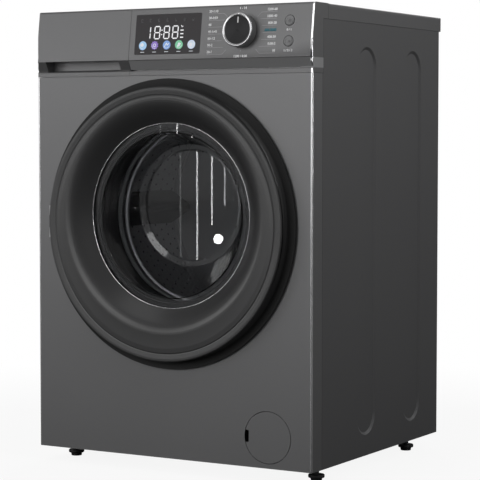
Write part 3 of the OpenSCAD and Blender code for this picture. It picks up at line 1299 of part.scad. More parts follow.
// Program knob: ring, dished face, hollow skirt and the shaft that turns the encoder
module program_knob() color("#2b2b2d") on_face(knob_x, controls_z) {
  h = knob_h;
  rotate_extrude($fn = 96) polygon(concat(
    [[0, h - 2.4], [knob_r - 6, h - 2], [knob_r - 4.6, h - 0.6]],
    arc(knob_r - 2.6, h - 2, 2, 90, 10, n = 6), [[knob_r - 1, 0.6], [knob_r - 4, 0.6],
    [knob_r - 3.6, h - 6], [8, h - 6], [8, 0.6], [knob_shaft_r, 0.6],
    [knob_shaft_r, 4 - board_back], [0, 4 - board_back]]));
  translate([0, knob_r * 0.72, h - 2.3]) linear_extrude(0.5) soft_rect(1.8, 9, 0.8);
}

// Push button: cap with a dished face, stem in its guide
module push_button(dz) on_face(button_x, button_z + dz)
  rotate_extrude($fn = 64) polygon([[0, 0], [button_r - 2, 0.3], [button_r - 0.6, 0.5], [button_r, 0],
    [button_r, -5], [button_r - 2, -5], [button_r - 2, -1.8], [button_stem_r, -1.8],
    [button_stem_r, -board_back + 10], [0, -board_back + 10]]);
module power_button() color("#77787a") push_button(button_dz);
module start_button() color("#77787a") push_button(-button_dz);

// ---------------------------------------------------------------- pump

// Round cover pressed into the front panel, with a finger slot and four sprung tabs
module filter_cover() color("#707173") {
  r = filter_r - cover_gap;
  difference() {
    bar_y(r, 0, cover_t, filter_x, z_filter, fn = 96);
    translate([filter_x - filter_r + 4, -1, z_filter]) rotate([-90, 0, 0]) linear_extrude(10)
      soft_rect(10, 22, 2);
  }
  block([filter_x - r + 12, cover_t - 1, z_filter - 9], [filter_x - r + 14, cover_t + 3.5, z_filter + 9]);
  for (a = [45:90:315]) translate([filter_x, 0, z_filter]) rotate([0, a, 0])
    block([-3, 0.4, filter_r - fit - 2.6], [3, 9, filter_r - fit - 0.1]);
}

// Lint filter: neck in the chamber, grip, basket of four bars and a ring
module pump_filter() color("#35373a") {
  r = chamber_r - running;
  y0 = chamber_y - 4;
  bar_y(r, chamber_y + 1, chamber_y + filter_neck, filter_x, z_filter, fn = 72);
  bar_y(chamber_r + 2.5, y0, chamber_y - fit, filter_x, z_filter, fn = 72);
  bar_y(r - 4, y0, chamber_y + 2, filter_x, z_filter, fn = 72);
  translate([filter_x, y0 - 14, z_filter]) rotate([-90, 0, 0]) linear_extrude(15) soft_rect(8, 44, 3);
  for (a = [45:90:315]) bar_y(2.2, chamber_y + filter_neck - 1, volute_y - 12,
    filter_x + (r - 8) * cos(a), z_filter + (r - 8) * sin(a), fn = 16);
  for (y = [chamber_y + 34, volute_y - 13]) translate([0, y, 0])
    turned([[r - 11, 0], [r - 5, 0], [r - 5, 3], [r - 11, 3]], z_filter, filter_x);
}

// Impeller: hub, six vanes and the motor's shaft
module pump_impeller() color("#e2e2de") {
  y = volute_y + 1;
  bar_y(2, y + 1, volute_y + volute_len + 13, filter_x, z_filter, fn = 24);
  bar_y(6, y, y + volute_len - 4, filter_x, z_filter, fn = 32);
  bar_y(impeller_r, y + volute_len - 5, y + volute_len - 3, filter_x, z_filter, fn = 48);
  for (a = [0:60:300]) translate([filter_x, y + 2, z_filter]) rotate([0, a, 0])
    block([-0.8, 0, 4], [0.8, volute_len - 6, impeller_r - 1]);
}

machine() cabinet_shell();
machine() rear_cover();
machine() base_pan();
machine() front_panel();
machine() top_cover();
machine() control_fascia();
machine() display_window();
machine() control_board();
machine() top_braces();
machine() dispenser_housing();
machine() inlet_valve();
machine() fill_hose();
machine() drain_pump();
machine() drain_hose();
machine() door_lock();
machine() cord_gland();
machine() transit_plugs();
machine() case_screws();
machine() hinge_bracket();
machine() door_gasket();
machine() suspension_springs();
machine() sump_hose();
machine() dispenser_hose();
machine() foot_front_left();
machine() foot_front_right();
machine() foot_rear_left();
machine() foot_rear_right();
machine() tub_front();
machine() tub_rear();
machine() upper_counterweight();
machine() lower_counterweight();
machine() heater();
machine() shaft_bearings();
machine() shaft_seal();
machine() motor_housing();
machine() drive_belt();
machine() drum_shell();
machine() drum_back();
machine() drum_lifters();
machine() drum_spider();
machine() drum_shaft();
machine() drum_pulley();
machine() motor_rotor();
machine() damper_cylinder_left();
machine() damper_cylinder_right();
machine() damper_rod_left();
machine() damper_rod_right();
machine() door_ring();
machine() door_frame();
machine() door_glass();
machine() door_hinge_arm();
machine() door_hook();
machine() drawer_tray();
machine() drawer_front();
machine() program_knob();
machine() power_button();
machine() start_button();
machine() filter_cover();
machine() pump_filter();
machine() pump_impeller();
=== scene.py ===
"""Front load washing machine: looks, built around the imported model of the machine."""

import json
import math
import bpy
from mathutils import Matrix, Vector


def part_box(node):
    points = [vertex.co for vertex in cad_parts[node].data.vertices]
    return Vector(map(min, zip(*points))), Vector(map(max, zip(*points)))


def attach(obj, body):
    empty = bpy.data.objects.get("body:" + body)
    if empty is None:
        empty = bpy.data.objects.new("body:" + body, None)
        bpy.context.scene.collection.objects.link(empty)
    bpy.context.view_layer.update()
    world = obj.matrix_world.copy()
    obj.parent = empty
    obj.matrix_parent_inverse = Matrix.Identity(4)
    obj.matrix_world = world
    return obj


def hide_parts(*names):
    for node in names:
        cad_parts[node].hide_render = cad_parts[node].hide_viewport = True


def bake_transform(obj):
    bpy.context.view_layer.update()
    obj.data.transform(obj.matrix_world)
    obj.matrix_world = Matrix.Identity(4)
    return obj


bl_info = {
    "name": "Front load washing machine",
    "version": (1, 0, 0),
    "blender": (4, 5, 0),
    "location": "3D View > Sidebar > Washer",
    "description": "Finishes, printed panel, door, drum and studio of a front load washing machine",
    "category": "Object",
}

import bmesh
import bpy
from bpy.props import FloatProperty, FloatVectorProperty, PointerProperty, StringProperty
from mathutils import Vector

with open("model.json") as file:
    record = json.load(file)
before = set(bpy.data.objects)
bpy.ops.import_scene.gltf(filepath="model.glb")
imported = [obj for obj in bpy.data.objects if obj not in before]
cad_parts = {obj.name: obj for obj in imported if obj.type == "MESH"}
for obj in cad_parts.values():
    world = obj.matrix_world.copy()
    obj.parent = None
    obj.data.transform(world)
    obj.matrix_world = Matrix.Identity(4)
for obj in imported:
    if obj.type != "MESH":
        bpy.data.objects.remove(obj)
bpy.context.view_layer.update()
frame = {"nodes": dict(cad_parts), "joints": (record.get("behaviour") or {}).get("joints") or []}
NODES = frame["nodes"]
JOINTS = {joint["name"]: joint for joint in frame["joints"]}

MM = 0.001

# The sloping panel: a point on it and its directions, from the axis on which the knob turns
FACE_NORMAL = Vector(JOINTS["knob_turn"]["axis"]).normalized()
FACE_POINT = Vector(JOINTS["knob_turn"]["pos_m"])
FACE_UP = Vector((-1, 0, 0)).cross(FACE_NORMAL).normalized()

# Height of the panel's lower lip, which the undercut lies below
LIP_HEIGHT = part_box("display_window")[0].z - 5.6 * MM


# ---------------------------------------------------------------- shader helpers


class Value:
    """A socket of a shader tree that takes part in arithmetic."""

    def __init__(self, shader, socket):
        self.shader = shader
        self.socket = socket

    def maths(self, operation, first, second=None, clamp=False):
        inputs = {0: first} if second is None else {0: first, 1: second}
        return self.shader.add("ShaderNodeMath", {"operation": operation, "use_clamp": clamp}, inputs)[0]

    def __add__(self, other):
        return self.maths("ADD", self, other)

    def __radd__(self, other):
        return self.maths("ADD", other, self)

    def __sub__(self, other):
        return self.maths("SUBTRACT", self, other)

    def __rsub__(self, other):
        return self.maths("SUBTRACT", other, self)

    def __mul__(self, other):
        return self.maths("MULTIPLY", self, other)

    def __rmul__(self, other):
        return self.maths("MULTIPLY", other, self)

    def __truediv__(self, other):
        return self.maths("DIVIDE", self, other)

    def __rtruediv__(self, other):
        return self.maths("DIVIDE", other, self)

    def __pow__(self, other):
        return self.maths("POWER", self, other)

    def __gt__(self, other):
        return self.maths("GREATER_THAN", self, other)

    def __lt__(self, other):
        return self.maths("LESS_THAN", self, other)

    def clamped(self):
        return self.maths("ADD", self, 0.0, clamp=True)

    def absolute(self):
        return self.maths("ABSOLUTE", self)

    def sine(self):
        return self.maths("SINE", self)

    def fraction(self):
        return self.maths("FRACT", self)

    def ramp(self, start, end):
        """Rises from 0 at start to 1 at end."""
        return ((self - start) / (end - start)).clamped()

    def band(self, rise, fall):
        """1 between two ramps, each given by its start and end, and 0 outside them."""
        return self.ramp(*rise) * (1 - self.ramp(*fall))


class Shader:
    """A node tree that is filled node by node."""

    def __init__(self, tree):
        self.tree = tree
        tree.nodes.clear()

    def add(self, kind, settings=None, inputs=None):
        """Adds a node: settings first, then each socket's value or link. Gives its outputs."""
        node = self.tree.nodes.new(kind)
        for key, value in (settings or {}).items():
            setattr(node, key, value)
        for key, value in (inputs or {}).items():
            self.feed(node.inputs[key], value)
        return [Value(self, output) for output in node.outputs if output.enabled]

    def feed(self, socket, value):
        """Links a value to a socket, or sets a number, vector or colour on it."""
        if isinstance(value, Value):
            self.tree.links.new(value.socket, socket)
        elif hasattr(socket.default_value, "__len__"):
            size = len(socket.default_value)
            values = list(value) if hasattr(value, "__len__") else [value] * size
            socket.default_value = (values + [1.0])[:size]
        else:
            socket.default_value = value

    def place(self):
        """Position on the object, in metres."""
        return self.add("ShaderNodeTexCoord")[3]

    def vector(self, operation, first, second=None):
        """Result of a vector operation, which is a number for a length or a dot product."""
        inputs = {0: first} if second is None else {0: first, 1: second}
        return self.add("ShaderNodeVectorMath", {"operation": operation}, inputs)[0]

    def apart(self, vector):
        """The three parts of a vector."""
        return self.add("ShaderNodeSeparateXYZ", {}, {0: vector})

    def offset(self, centre):
        """Way from centre to the position on the object, in metres."""
        return self.vector("SUBTRACT", self.place(), centre)

    def distance(self, offset, axis):
        """Distance from an axis, in metres, for an offset from a point on it."""
        return self.vector("LENGTH", self.vector("CROSS_PRODUCT", offset, axis))

    def noise(self, scale, detail=2.0, roughness=0.5, vector=None):
        return self.add(
            "ShaderNodeTexNoise", {},
            {"Vector": vector or self.place(), "Scale": scale, "Detail": detail, "Roughness": roughness},
        )[0]

    def rays(self):
        """The kinds of light ray, by name."""
        return {output.socket.name: output for output in self.add("ShaderNodeLightPath")}

    def stretched(self, x, y, z):
        """Position scaled along each axis."""
        return self.add("ShaderNodeMapping", {}, {"Vector": self.place(), "Scale": (x, y, z)})[0]

    def cells(self, scale, feature="F1"):
        inputs = {"Vector": self.place(), "Scale": scale}
        return self.add("ShaderNodeTexVoronoi", {"feature": feature}, inputs)

    def blend(self, factor, first, second):
        """Mixes two colours."""
        node = self.tree.nodes.new("ShaderNodeMix")
        node.data_type = "RGBA"
        self.feed(node.inputs[0], factor)
        self.feed(node.inputs[6], first)
        self.feed(node.inputs[7], second)
        return Value(self, node.outputs[2])

    def bump(self, height, distance):
        """Relief whose full height is distance, in metres."""
        return self.add("ShaderNodeBump", {}, {"Height": height, "Distance": distance})[0]

    def surface(self, **inputs):
        """Principled surface and the output."""
        named = {key.replace("_", " "): value for key, value in inputs.items()}
        shader = self.add("ShaderNodeBsdfPrincipled", {}, named)[0]
        self.add("ShaderNodeOutputMaterial", {}, {"Surface": shader})
        return shader


def new_material(name):
    """An empty material and the shader that fills it."""
    material = bpy.data.materials.new(name)
    material.use_nodes = True
    return material, Shader(material.node_tree)


def scaled(colour, factor):
    """A lighter or darker colour of the same hue."""
    return tuple(min(1.0, c * factor) for c in colour[:3])


# ---------------------------------------------------------------- finishes


# Band under the panel's lip that is painted lighter, as painted light, in metres up from the lip
UNDERCUT_LOW = (-19.5 * MM, -17.5 * MM)
UNDERCUT_HIGH = (-1.0 * MM, 0.0)
# Upright edge of a painted sheet, which gets a painted highlight, in metres out from the sheet's side
BENT_INNER = (-4.2 * MM, -3.6 * MM)
BENT_OUTER = (-0.9 * MM, -0.5 * MM)


def moved(span, place):
    """A start and end, moved by place."""
    return tuple(place + part for part in span)


def satin_paint(name, colour, metallic=0.5, rough=0.40, peel=0.02 * MM, edge=None, lip=None):
    """Baked metallic paint with fine flakes, a faint orange peel and slight cloudiness.

    edge is where the sheet's side is, for a painted highlight along its upright edge, and lip is the height
    of the panel's lip, under which the undercut gets painted light.
    """
    material, s = new_material(name)
    cloud = s.noise(3.0, 3.0)
    grain = s.noise(2600.0, 1.0)
    tone = (grain * 0.10 + cloud * 0.08).clamped()
    base = s.blend(tone, scaled(colour, 0.93), scaled(colour, 1.35))
    orange = s.noise(420.0, 2.0)
    rough = rough + cloud * 0.05 + grain * 0.03
    if lip:
        level = s.apart(s.place())[2]
        # Painted light: the undercut below the lip is painted lighter than the rest of the sheet
        below = level.band(moved(UNDERCUT_LOW, lip), moved(UNDERCUT_HIGH, lip))
        base = s.blend(below, base, scaled(colour, 2.3))
    if edge:
        across = s.apart(s.place())[0].absolute()
        # Painted highlight along the upright edge: a much lighter base colour, with more metal and less
        # roughness
        bent_edge_painted_highlight = across.band(moved(BENT_INNER, edge), moved(BENT_OUTER, edge))
        base = s.blend(bent_edge_painted_highlight, base, scaled(colour, 4.6))
        metallic = metallic + bent_edge_painted_highlight * (0.95 - metallic)
        rough = rough - bent_edge_painted_highlight * 0.2
    s.surface(Base_Color=base, Metallic=metallic, Roughness=rough, Normal=s.bump(orange, peel))
    return material


def moulded(name, colour, rough=0.45, grain=0.02 * MM, specular=0.5):
    """Moulded plastic: slight colour drift and a fine eroded grain."""
    material, s = new_material(name)
    drift = s.noise(6.0, 3.0)
    fine = s.noise(1500.0, 2.0)
    base = s.blend(drift, scaled(colour, 0.9), scaled(colour, 1.12))
    s.surface(
        Base_Color=base, Roughness=rough - 0.04 + drift * 0.06 + fine * 0.05, Specular_IOR_Level=specular,
        Normal=s.bump(fine, grain),
    )
    return material


def rubber(name, colour):
    """Matt rubber with a little dust on it."""
    material, s = new_material(name)
    dust = s.noise(14.0, 5.0, 0.65)
    fine = s.noise(900.0, 2.0)
    base = s.blend(dust ** 2.0, colour, scaled(colour, 2.1))
    s.surface(
        Base_Color=base, Roughness=0.62 + dust * 0.16, Specular_IOR_Level=0.35,
        Normal=s.bump(fine + dust * 0.5, 0.05 * MM),
    )
    return material


def galvanised(name, colour):
    """Zinc coating: large soft spangles that differ in brightness and gloss."""
    material, s = new_material(name)
    cell = s.cells(60.0)
    spangle = s.add("ShaderNodeSeparateColor", {}, {"Color": cell[1]})[0]
    fine = s.noise(700.0, 2.0)
    base = s.blend(spangle * 0.7 + fine * 0.2, scaled(colour, 0.72), scaled(colour, 1.15))
    s.surface(Base_Color=base, Metallic=0.9, Roughness=0.34 + spangle * 0.16, Normal=s.bump(fine, 0.03 * MM))
    return material


def brushed(name, colour, stretch, rough=0.26):
    """Rolled or turned steel with fine lines. stretch is how closely they repeat along x, y and z."""
    material, s = new_material(name)
    lines = s.noise(1.0, 2.0, 0.6, s.stretched(*stretch))
    wide = s.noise(7.0, 2.0)
    base = s.blend(lines * 0.6 + wide * 0.3, scaled(colour, 0.78), scaled(colour, 1.12))
    s.surface(Base_Color=base, Metallic=1.0, Roughness=rough + lines * 0.14, Normal=s.bump(lines, 0.02 * MM))
    return material


def cast_metal(name, colour, rough=0.5, metallic=0.85):
    """Cast or blasted metal: a coarse grain and faint clouds."""
    material, s = new_material(name)
    grain = s.noise(420.0, 4.0, 0.7)
    cloud = s.noise(18.0, 3.0)
    base = s.blend(grain * 0.5 + cloud * 0.4, scaled(colour, 0.75), scaled(colour, 1.15))
    s.surface(
        Base_Color=base, Metallic=metallic, Roughness=rough + grain * 0.14, Normal=s.bump(grain, 0.12 * MM))
    return material


def concrete(name, colour):
    """Cast concrete: sandy body, darker patches and air pores painted dark as painted shade."""
    material, s = new_material(name)
    sand = s.noise(900.0, 3.0, 0.7)
    patch = s.noise(12.0, 4.0, 0.6)
    pore = s.cells(260.0)[0]
    pore_painted_shade = pore < 0.16
    base = s.blend(patch, scaled(colour, 0.7), scaled(colour, 1.12))
    # Painted shade: the pores are painted darker
    base_with_painted_pore_shade = s.blend(pore_painted_shade * 0.8, base, scaled(colour, 0.3))
    s.surface(Base_Color=base_with_painted_pore_shade, Roughness=0.88, Normal=s.bump(sand * 0.4 - pore_painted_shade, 0.4 * MM))
    return material


def circuit_board(name, colour):
    """Solder mask with copper tracks showing through."""
    material, s = new_material(name)
    cell = s.cells(260.0, "DISTANCE_TO_EDGE")[0]
    track = cell < 0.04
    cloud = s.noise(20.0, 2.0)
    mask = s.blend(cloud, scaled(colour, 0.8), scaled(colour, 1.2))
    base = s.blend(track * 0.6, mask, (0.25, 0.33, 0.12))
    s.surface(Base_Color=base, Roughness=0.35, Normal=s.bump(track, 0.06 * MM))
    return material


def smoked_glass(name, tint):
    """Tinted clear glass with a hardly visible haze."""
    material, s = new_material(name)
    haze = s.noise(8.0, 2.0)
    s.surface(
        Base_Color=s.blend(haze, scaled(tint, 0.97), tint), Roughness=0.002 + haze * 0.004, IOR=1.49,
        Transmission_Weight=1.0,
    )
    return material


# Distances from the door's axis over which the ring's mouth turns into its face, and that into its outer wall
RING_FACE = (196 * MM, 226 * MM)
RING_WALL = (249 * MM, 252.5 * MM)


def ring_plastic(name, colour, centre):
    """Satin outer face, a glossier mouth with painted shade, and a black outer wall, by distance from the
    door's axis.
    """
    material, s = new_material(name)
    distance = s.distance(s.offset(centre), (0, 1, 0))
    fine = s.noise(1500.0, 2.0)
    drift = s.noise(6.0, 3.0)
    face = distance.ramp(*RING_FACE)
    wall = distance.ramp(*RING_WALL)
    satin = s.blend(drift, scaled(colour, 0.92), scaled(colour, 1.1))
    # Painted shade: the mouth is painted darker than the face
    satin_with_painted_mouth_shade = s.blend(face, scaled(colour, 0.8), satin)
    s.surface(
        Base_Color=s.blend(wall, satin_with_painted_mouth_shade, scaled(colour, 0.08)),
        Roughness=0.3 + face * 0.07 + wall * 0.35 + fine * 0.04, Normal=s.bump(fine * face, 0.02 * MM),
    )
    return material


# Knob, in metres: heights over which its face and rim start, distances from its axis over which the dial
# ends and the rim starts, and the pointer's inner end, outer end and half width
KNOB_FACE = (15.1 * MM, 15.3 * MM)
KNOB_RIM = (15.5 * MM, 16.0 * MM)
KNOB_DIAL_END = (25.5 * MM, 25.8 * MM)
KNOB_RIM_START = (25.8 * MM, 26.2 * MM)
POINTER_INNER, POINTER_OUTER, POINTER_HALF = 12.5 * MM, 23.2 * MM, 1.1 * MM
# Turned grooves of the dial, in radians of their wave for each metre
GROOVES = 9000.0


def knob_finish(name, face_colour, rim_colour):
    """Black turned face with a white pointer, a bright rim and a satin side."""
    material, s = new_material(name)
    offset = s.offset(tuple(FACE_POINT))
    height = s.vector("DOT_PRODUCT", offset, tuple(FACE_NORMAL))
    distance = s.distance(offset, tuple(FACE_NORMAL))
    across = s.apart(offset)[0]
    rise = s.vector("DOT_PRODUCT", offset, tuple(FACE_UP))
    dial = height.ramp(*KNOB_FACE) * (1 - distance.ramp(*KNOB_DIAL_END))
    rim = height.ramp(*KNOB_RIM) * distance.ramp(*KNOB_RIM_START)
    pointer = dial * (across.absolute() < POINTER_HALF) * (rise > POINTER_INNER) * (rise < POINTER_OUTER)
    groove = (distance * GROOVES).sine()
    wear = s.noise(300.0, 3.0)
    side = s.blend(wear, scaled(rim_colour, 0.42), scaled(rim_colour, 0.52))
    metal = s.blend(rim, side, rim_colour)
    faced = s.blend(dial, metal, face_colour)
    s.surface(
        Base_Color=s.blend(pointer, faced, (0.9, 0.9, 0.9)), Metallic=(1 - pointer) * (0.6 + rim * 0.3),
        Roughness=0.34 - rim * 0.12 + pointer * 0.2 + wear * 0.05, Normal=s.bump(groove * dial, 0.03 * MM),
    )
    return material


# Drum sheet: its radius, the spacing of its holes, and a hole's inner and outer edge as shares of that
DRUM_RADIUS = 243.5 * MM
HOLE_PITCH = 21 * MM
HOLE_INNER, HOLE_OUTER = 0.084, 0.116


def perforated(name, colour, centre):
    """Stainless sheet with staggered rows of round holes around the drum's axis, the holes painted near-black
    as painted shade.
    """
    material, s = new_material(name)
    x, y, z = s.apart(s.vector("SUBTRACT", s.place(), centre))
    turn = x.maths("ARCTAN2", x, z)
    column = turn * (round(2 * math.pi * DRUM_RADIUS / HOLE_PITCH) / (2 * math.pi))
    row = y / HOLE_PITCH
    shift = ((row * 0.5).fraction() > 0.5) * 0.5
    u = (column + shift).fraction() - 0.5
    v = row.fraction() - 0.5
    hole_painted_shade = 1 - (u * u + v * v).ramp(HOLE_INNER ** 2, HOLE_OUTER ** 2)
    lines = s.noise(1.0, 2.0, 0.6, s.stretched(900, 20, 900))
    steel = s.blend(lines, scaled(colour, 0.8), scaled(colour, 1.1))
    # Painted shade: the holes are painted near-black for the dark space behind the sheet
    s.surface(
        Base_Color=s.blend(hole_painted_shade, steel, (0.006, 0.006, 0.006)), Metallic=1 - hole_painted_shade,
        Roughness=0.27 + lines * 0.12 + hole_painted_shade * 0.4, Normal=s.bump(lines * 0.15 - hole_painted_shade, 0.6 * MM),
    )
    return material


def printed(name, colour, glow=0.0):
    """Screen-printed ink or a lit segment; on ink, glow is a painted glow."""
    material, s = new_material(name)
    dots = s.noise(3000.0, 1.0)
    base = s.blend(dots, scaled(colour, 0.9), colour)
    s.surface(
        Base_Color=base, Roughness=0.5, Emission_Color=base, Emission_Strength=glow,
        Normal=s.bump(dots, 0.01 * MM),
    )
    return material


# ---------------------------------------------------------------- mesh helpers


# Edges that turn more than this stay sharp
SHARP_ANGLE = math.radians(24)


def dress(names, material):
    """Gives CAD nodes their finish, with round walls shaded smooth and edges kept sharp."""
    for name in names:
        mesh = NODES[name].data
        mesh.materials.clear()
        mesh.materials.append(material)
        mesh.shade_smooth()
        mesh.set_sharp_from_angle(angle=SHARP_ANGLE)


def middle_of(name):
    """Middle of a node's box at rest."""
    low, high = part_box(name)
    return (low + high) / 2


def mesh_from(bm, name):
    """Mesh with its faces outward, from a bmesh that ends here."""
    bmesh.ops.recalc_face_normals(bm, faces=bm.faces[:])
    mesh = bpy.data.meshes.new(name)
    bm.to_mesh(mesh)
    bm.free()
    return mesh


def add_piece(name, mesh, material, body):
    """A rigid piece of the scene that rides on a body."""
    mesh.materials.append(material)
    piece = bpy.data.objects.new(name, mesh)
    bpy.context.scene.collection.objects.link(piece)
    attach(piece, body)
    return piece


def add_soft(node, axis, grip):
    """Piece in a node's place, a copy of the node's mesh that is shown while the node is hidden.

    axis runs through both ends and grip is how much of each is held; the ends found from them are not used.
    """
    low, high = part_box(node)
    ends = [middle_of(node), middle_of(node)]
    ends[0][axis] = high[axis] - grip
    ends[1][axis] = low[axis] + grip
    piece = bpy.data.objects.new(node + "_soft", NODES[node].data.copy())
    bpy.context.scene.collection.objects.link(piece)
    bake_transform(piece)
    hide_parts(node)
    return piece


def face_depth(height):
    """Where the panel's face lies along y at a height along z, in metres."""
    return FACE_POINT.y + (height - FACE_POINT.z) / FACE_UP.z * FACE_UP.y


class Print:
    """Flat shapes on the sloping panel face, given by x and by height along z, in millimetres."""

    DEPTH = 0.5 * MM

    def __init__(self, lift=0.12):
        self.bm = bmesh.new()
        self.top = lift * MM
        self.bottom = self.top - self.DEPTH

    def point(self, x, z, out):
        """Place on the face, moved out from it by out metres."""
        return Vector((x * MM, face_depth(z * MM), z * MM)) + FACE_NORMAL * out

    def shape(self, outline):
        """A closed solid with this outline, from DEPTH below its top to its top."""
        top = [self.bm.verts.new(self.point(x, z, self.top)) for x, z in outline]
        low = [self.bm.verts.new(self.point(x, z, self.bottom)) for x, z in outline]
        self.bm.faces.new(top)
        self.bm.faces.new(low[::-1])
        count = len(outline)
        for i in range(count):
            j = (i + 1) % count
            self.bm.faces.new((top[j], top[i], low[i], low[j]))

    def line(self, x0, z0, x1, z1, width):
        along = Vector((x1 - x0, z1 - z0))
        side = Vector((-along.y, along.x)).normalized() * width / 2
        a, b = Vector((x0, z0)), Vector((x1, z1))
        self.shape([tuple(a + side), tuple(a - side), tuple(b - side), tuple(b + side)])

    def disc(self, x, z, r, sides=32):
        turn = 2 * math.pi / sides
        self.shape([(x + r * math.cos(i * turn), z + r * math.sin(i * turn)) for i in range(sides)])

    def path(self, points, width):
        """Lines from point to point."""
        for (x0, z0), (x1, z1) in zip(points, points[1:]):
            self.line(x0, z0, x1, z1, width)

    def star(self, x, z, outer, inner, tips):
        turn = math.pi / tips
        radii = [inner if i % 2 else outer for i in range(2 * tips)]
        self.shape([(x + r * math.sin(i * turn), z + r * math.cos(i * turn)) for i, r in enumerate(radii)])

    def ring(self, x, z, r, width, start=0.0, end=360.0, steps=32):
        """A ring, or the part of one between two angles in degrees."""
        outer, inner = r + width / 2, r - width / 2
        for i in range(steps):
            a = math.radians(start + (end - start) * i / steps)
            b = math.radians(start + (end - start) * (i + 1) / steps)
            corners = ((outer, a), (outer, b), (inner, b), (inner, a))
            self.shape([(x + far * math.cos(turn), z + far * math.sin(turn)) for far, turn in corners])

    def text(self, words, x, z, height, align="LEFT", weight=0.035):
        """Characters of the built-in font, as raised solids. weight thickens them by a share of height."""
        curve = bpy.data.curves.new("characters", "FONT")
        curve.body = words
        curve.size = height
        curve.align_x = align
        curve.resolution_u = 3
        curve.offset = weight * height
        letters = bpy.data.objects.new("characters", curve)
        bpy.context.scene.collection.objects.link(letters)
        bpy.context.view_layer.update()
        flat = bpy.data.meshes.new_from_object(letters)
        part = bmesh.new()
        part.from_mesh(flat)
        bmesh.ops.remove_doubles(part, verts=part.verts, dist=1e-5)
        made = bmesh.ops.extrude_face_region(part, geom=part.faces[:])
        lifted = [item for item in made["geom"] if isinstance(item, bmesh.types.BMVert)]
        for vert in part.verts:
            vert.co.z = 0.0
        for vert in lifted:
            vert.co.z = 1.0
        for vert in part.verts:
            out = self.top if vert.co.z > 0.5 else self.bottom
            vert.co = self.point(x + vert.co.x, z + vert.co.y, out)
        raised = mesh_from(part, "characters")
        self.bm.from_mesh(raised)
        bpy.data.meshes.remove(raised)
        bpy.data.meshes.remove(flat)
        bpy.data.objects.remove(letters)
        bpy.data.curves.remove(curve)

    def finish(self, name, material, slot, body="cabinet"):
        """Turns the shapes into one piece."""
        return add_piece(name, mesh_from(self.bm, name), material, body)


# Lit segments of each digit, from a at the top clockwise to f, and g in the middle
SEGMENTS = {
    "0": "abcdef", "1": "bc", "2": "abged", "3": "abgcd", "4": "fgbc", "5": "afgcd", "6": "afgedc",
    "7": "abc", "8": "abcdefg", "9": "abcdfg",
}


# Lit digits, in millimetres: width, stroke, gap between segments and how far they lean for each of height
DIGIT_WIDTH, DIGIT_STROKE, DIGIT_GAP, DIGIT_LEAN = 11.2, 2.1, 0.55, 0.03


def lit_digit(sheet, character, x, z, height):
    """One seven-segment digit, leaning slightly to the right."""
    half, width = height / 2, DIGIT_WIDTH
    ends = {
        "a": ((0, height), (width, height)), "g": ((0, half), (width, half)), "d": ((0, 0), (width, 0)),
        "f": ((0, half), (0, height)), "b": ((width, half), (width, height)),
        "e": ((0, 0), (0, half)), "c": ((width, 0), (width, half)),
    }
    for key in SEGMENTS[character]:
        a, b = Vector(ends[key][0]), Vector(ends[key][1])
        along = (b - a).normalized()
        side = Vector((-along.y, along.x)) * DIGIT_STROKE / 2
        a += along * DIGIT_GAP
        b -= along * DIGIT_GAP
        tip = along * DIGIT_STROKE / 2
        outline = [a, a + tip + side, b - tip + side, b, b - tip - side, a + tip - side]
        sheet.shape([(x + corner.x + DIGIT_LEAN * corner.y, z + corner.y) for corner in outline])


# ---------------------------------------------------------------- settings


class WasherFinishes(bpy.types.PropertyGroup):
    front_colour: FloatVectorProperty(
        name="Front", description="Colour of the painted front and the panel", subtype="COLOR", size=3,
        min=0, max=1, default=(0.175, 0.175, 0.178))
    side_colour: FloatVectorProperty(
        name="Sides", description="Colour of the side and rear sheets", subtype="COLOR", size=3,
        min=0, max=1, default=(0.125, 0.125, 0.128))
    door_colour: FloatVectorProperty(
        name="Door ring", description="Colour of the moulded door ring", subtype="COLOR", size=3,
        min=0, max=1, default=(0.045, 0.045, 0.046))
    glass_tint: FloatVectorProperty(
        name="Glass", description="Tint of the door glass", subtype="COLOR", size=3,
        min=0, max=1, default=(0.45, 0.455, 0.465))


class WasherPanel(bpy.types.PropertyGroup):
    digits: StringProperty(name="Digits", description="Four digits shown on the display", default="1888")
    digit_height: FloatProperty(
        name="Digit height", description="Height of the lit digits in millimetres",
        default=22.4, min=5, max=40)
    label_height: FloatProperty(
        name="Label height", description="Height of the printed numbers in millimetres",
        default=6.2, min=2, max=12)


class WasherStage(bpy.types.PropertyGroup):
    lens: FloatProperty(name="Lens", description="Focal length", subtype="DISTANCE_CAMERA", default=138.4)
    camera_place: FloatVectorProperty(
        name="Camera", description="Where the camera stands", subtype="TRANSLATION", size=3,
        default=(1.8219, -3.1116, 0.6277))
    azimuth: FloatProperty(
        name="Azimuth", description="How far the camera stands to the right of the front", subtype="ANGLE",
        default=math.radians(30.38))
    elevation: FloatProperty(
        name="Elevation", description="How far the camera looks down", subtype="ANGLE",
        default=math.radians(3.30))
    floor_radius: FloatProperty(
        name="Floor", description="Radius of the floor", subtype="DISTANCE", unit="LENGTH", default=14.0)


# ---------------------------------------------------------------- operators


class WASHER_OT_cabinet(bpy.types.Operator):
    """Painted sheets, base pan, top cover and the small parts on them"""

    bl_idname = "washer.cabinet"
    bl_label = "Cabinet"

    def execute(self, context):
        look = context.scene.washer_finishes
        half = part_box("front_panel")[1].x
        dress(["front_panel"], satin_paint("front_paint", look.front_colour, edge=half))
        dress(["cabinet_shell", "rear_cover", "hinge_bracket"],
              satin_paint("side_paint", look.side_colour, metallic=0.35, rough=0.42, peel=0.06 * MM))
        dress(["top_cover"], moulded("cover_laminate", look.side_colour, rough=0.42))
        dress(["base_pan", "top_braces", "case_screws"], galvanised("galvanised_sheet", (0.52, 0.53, 0.54)))
        dress(["transit_plugs", "cord_gland"], moulded("black_fitting", (0.02, 0.02, 0.021)))
        return {"FINISHED"}


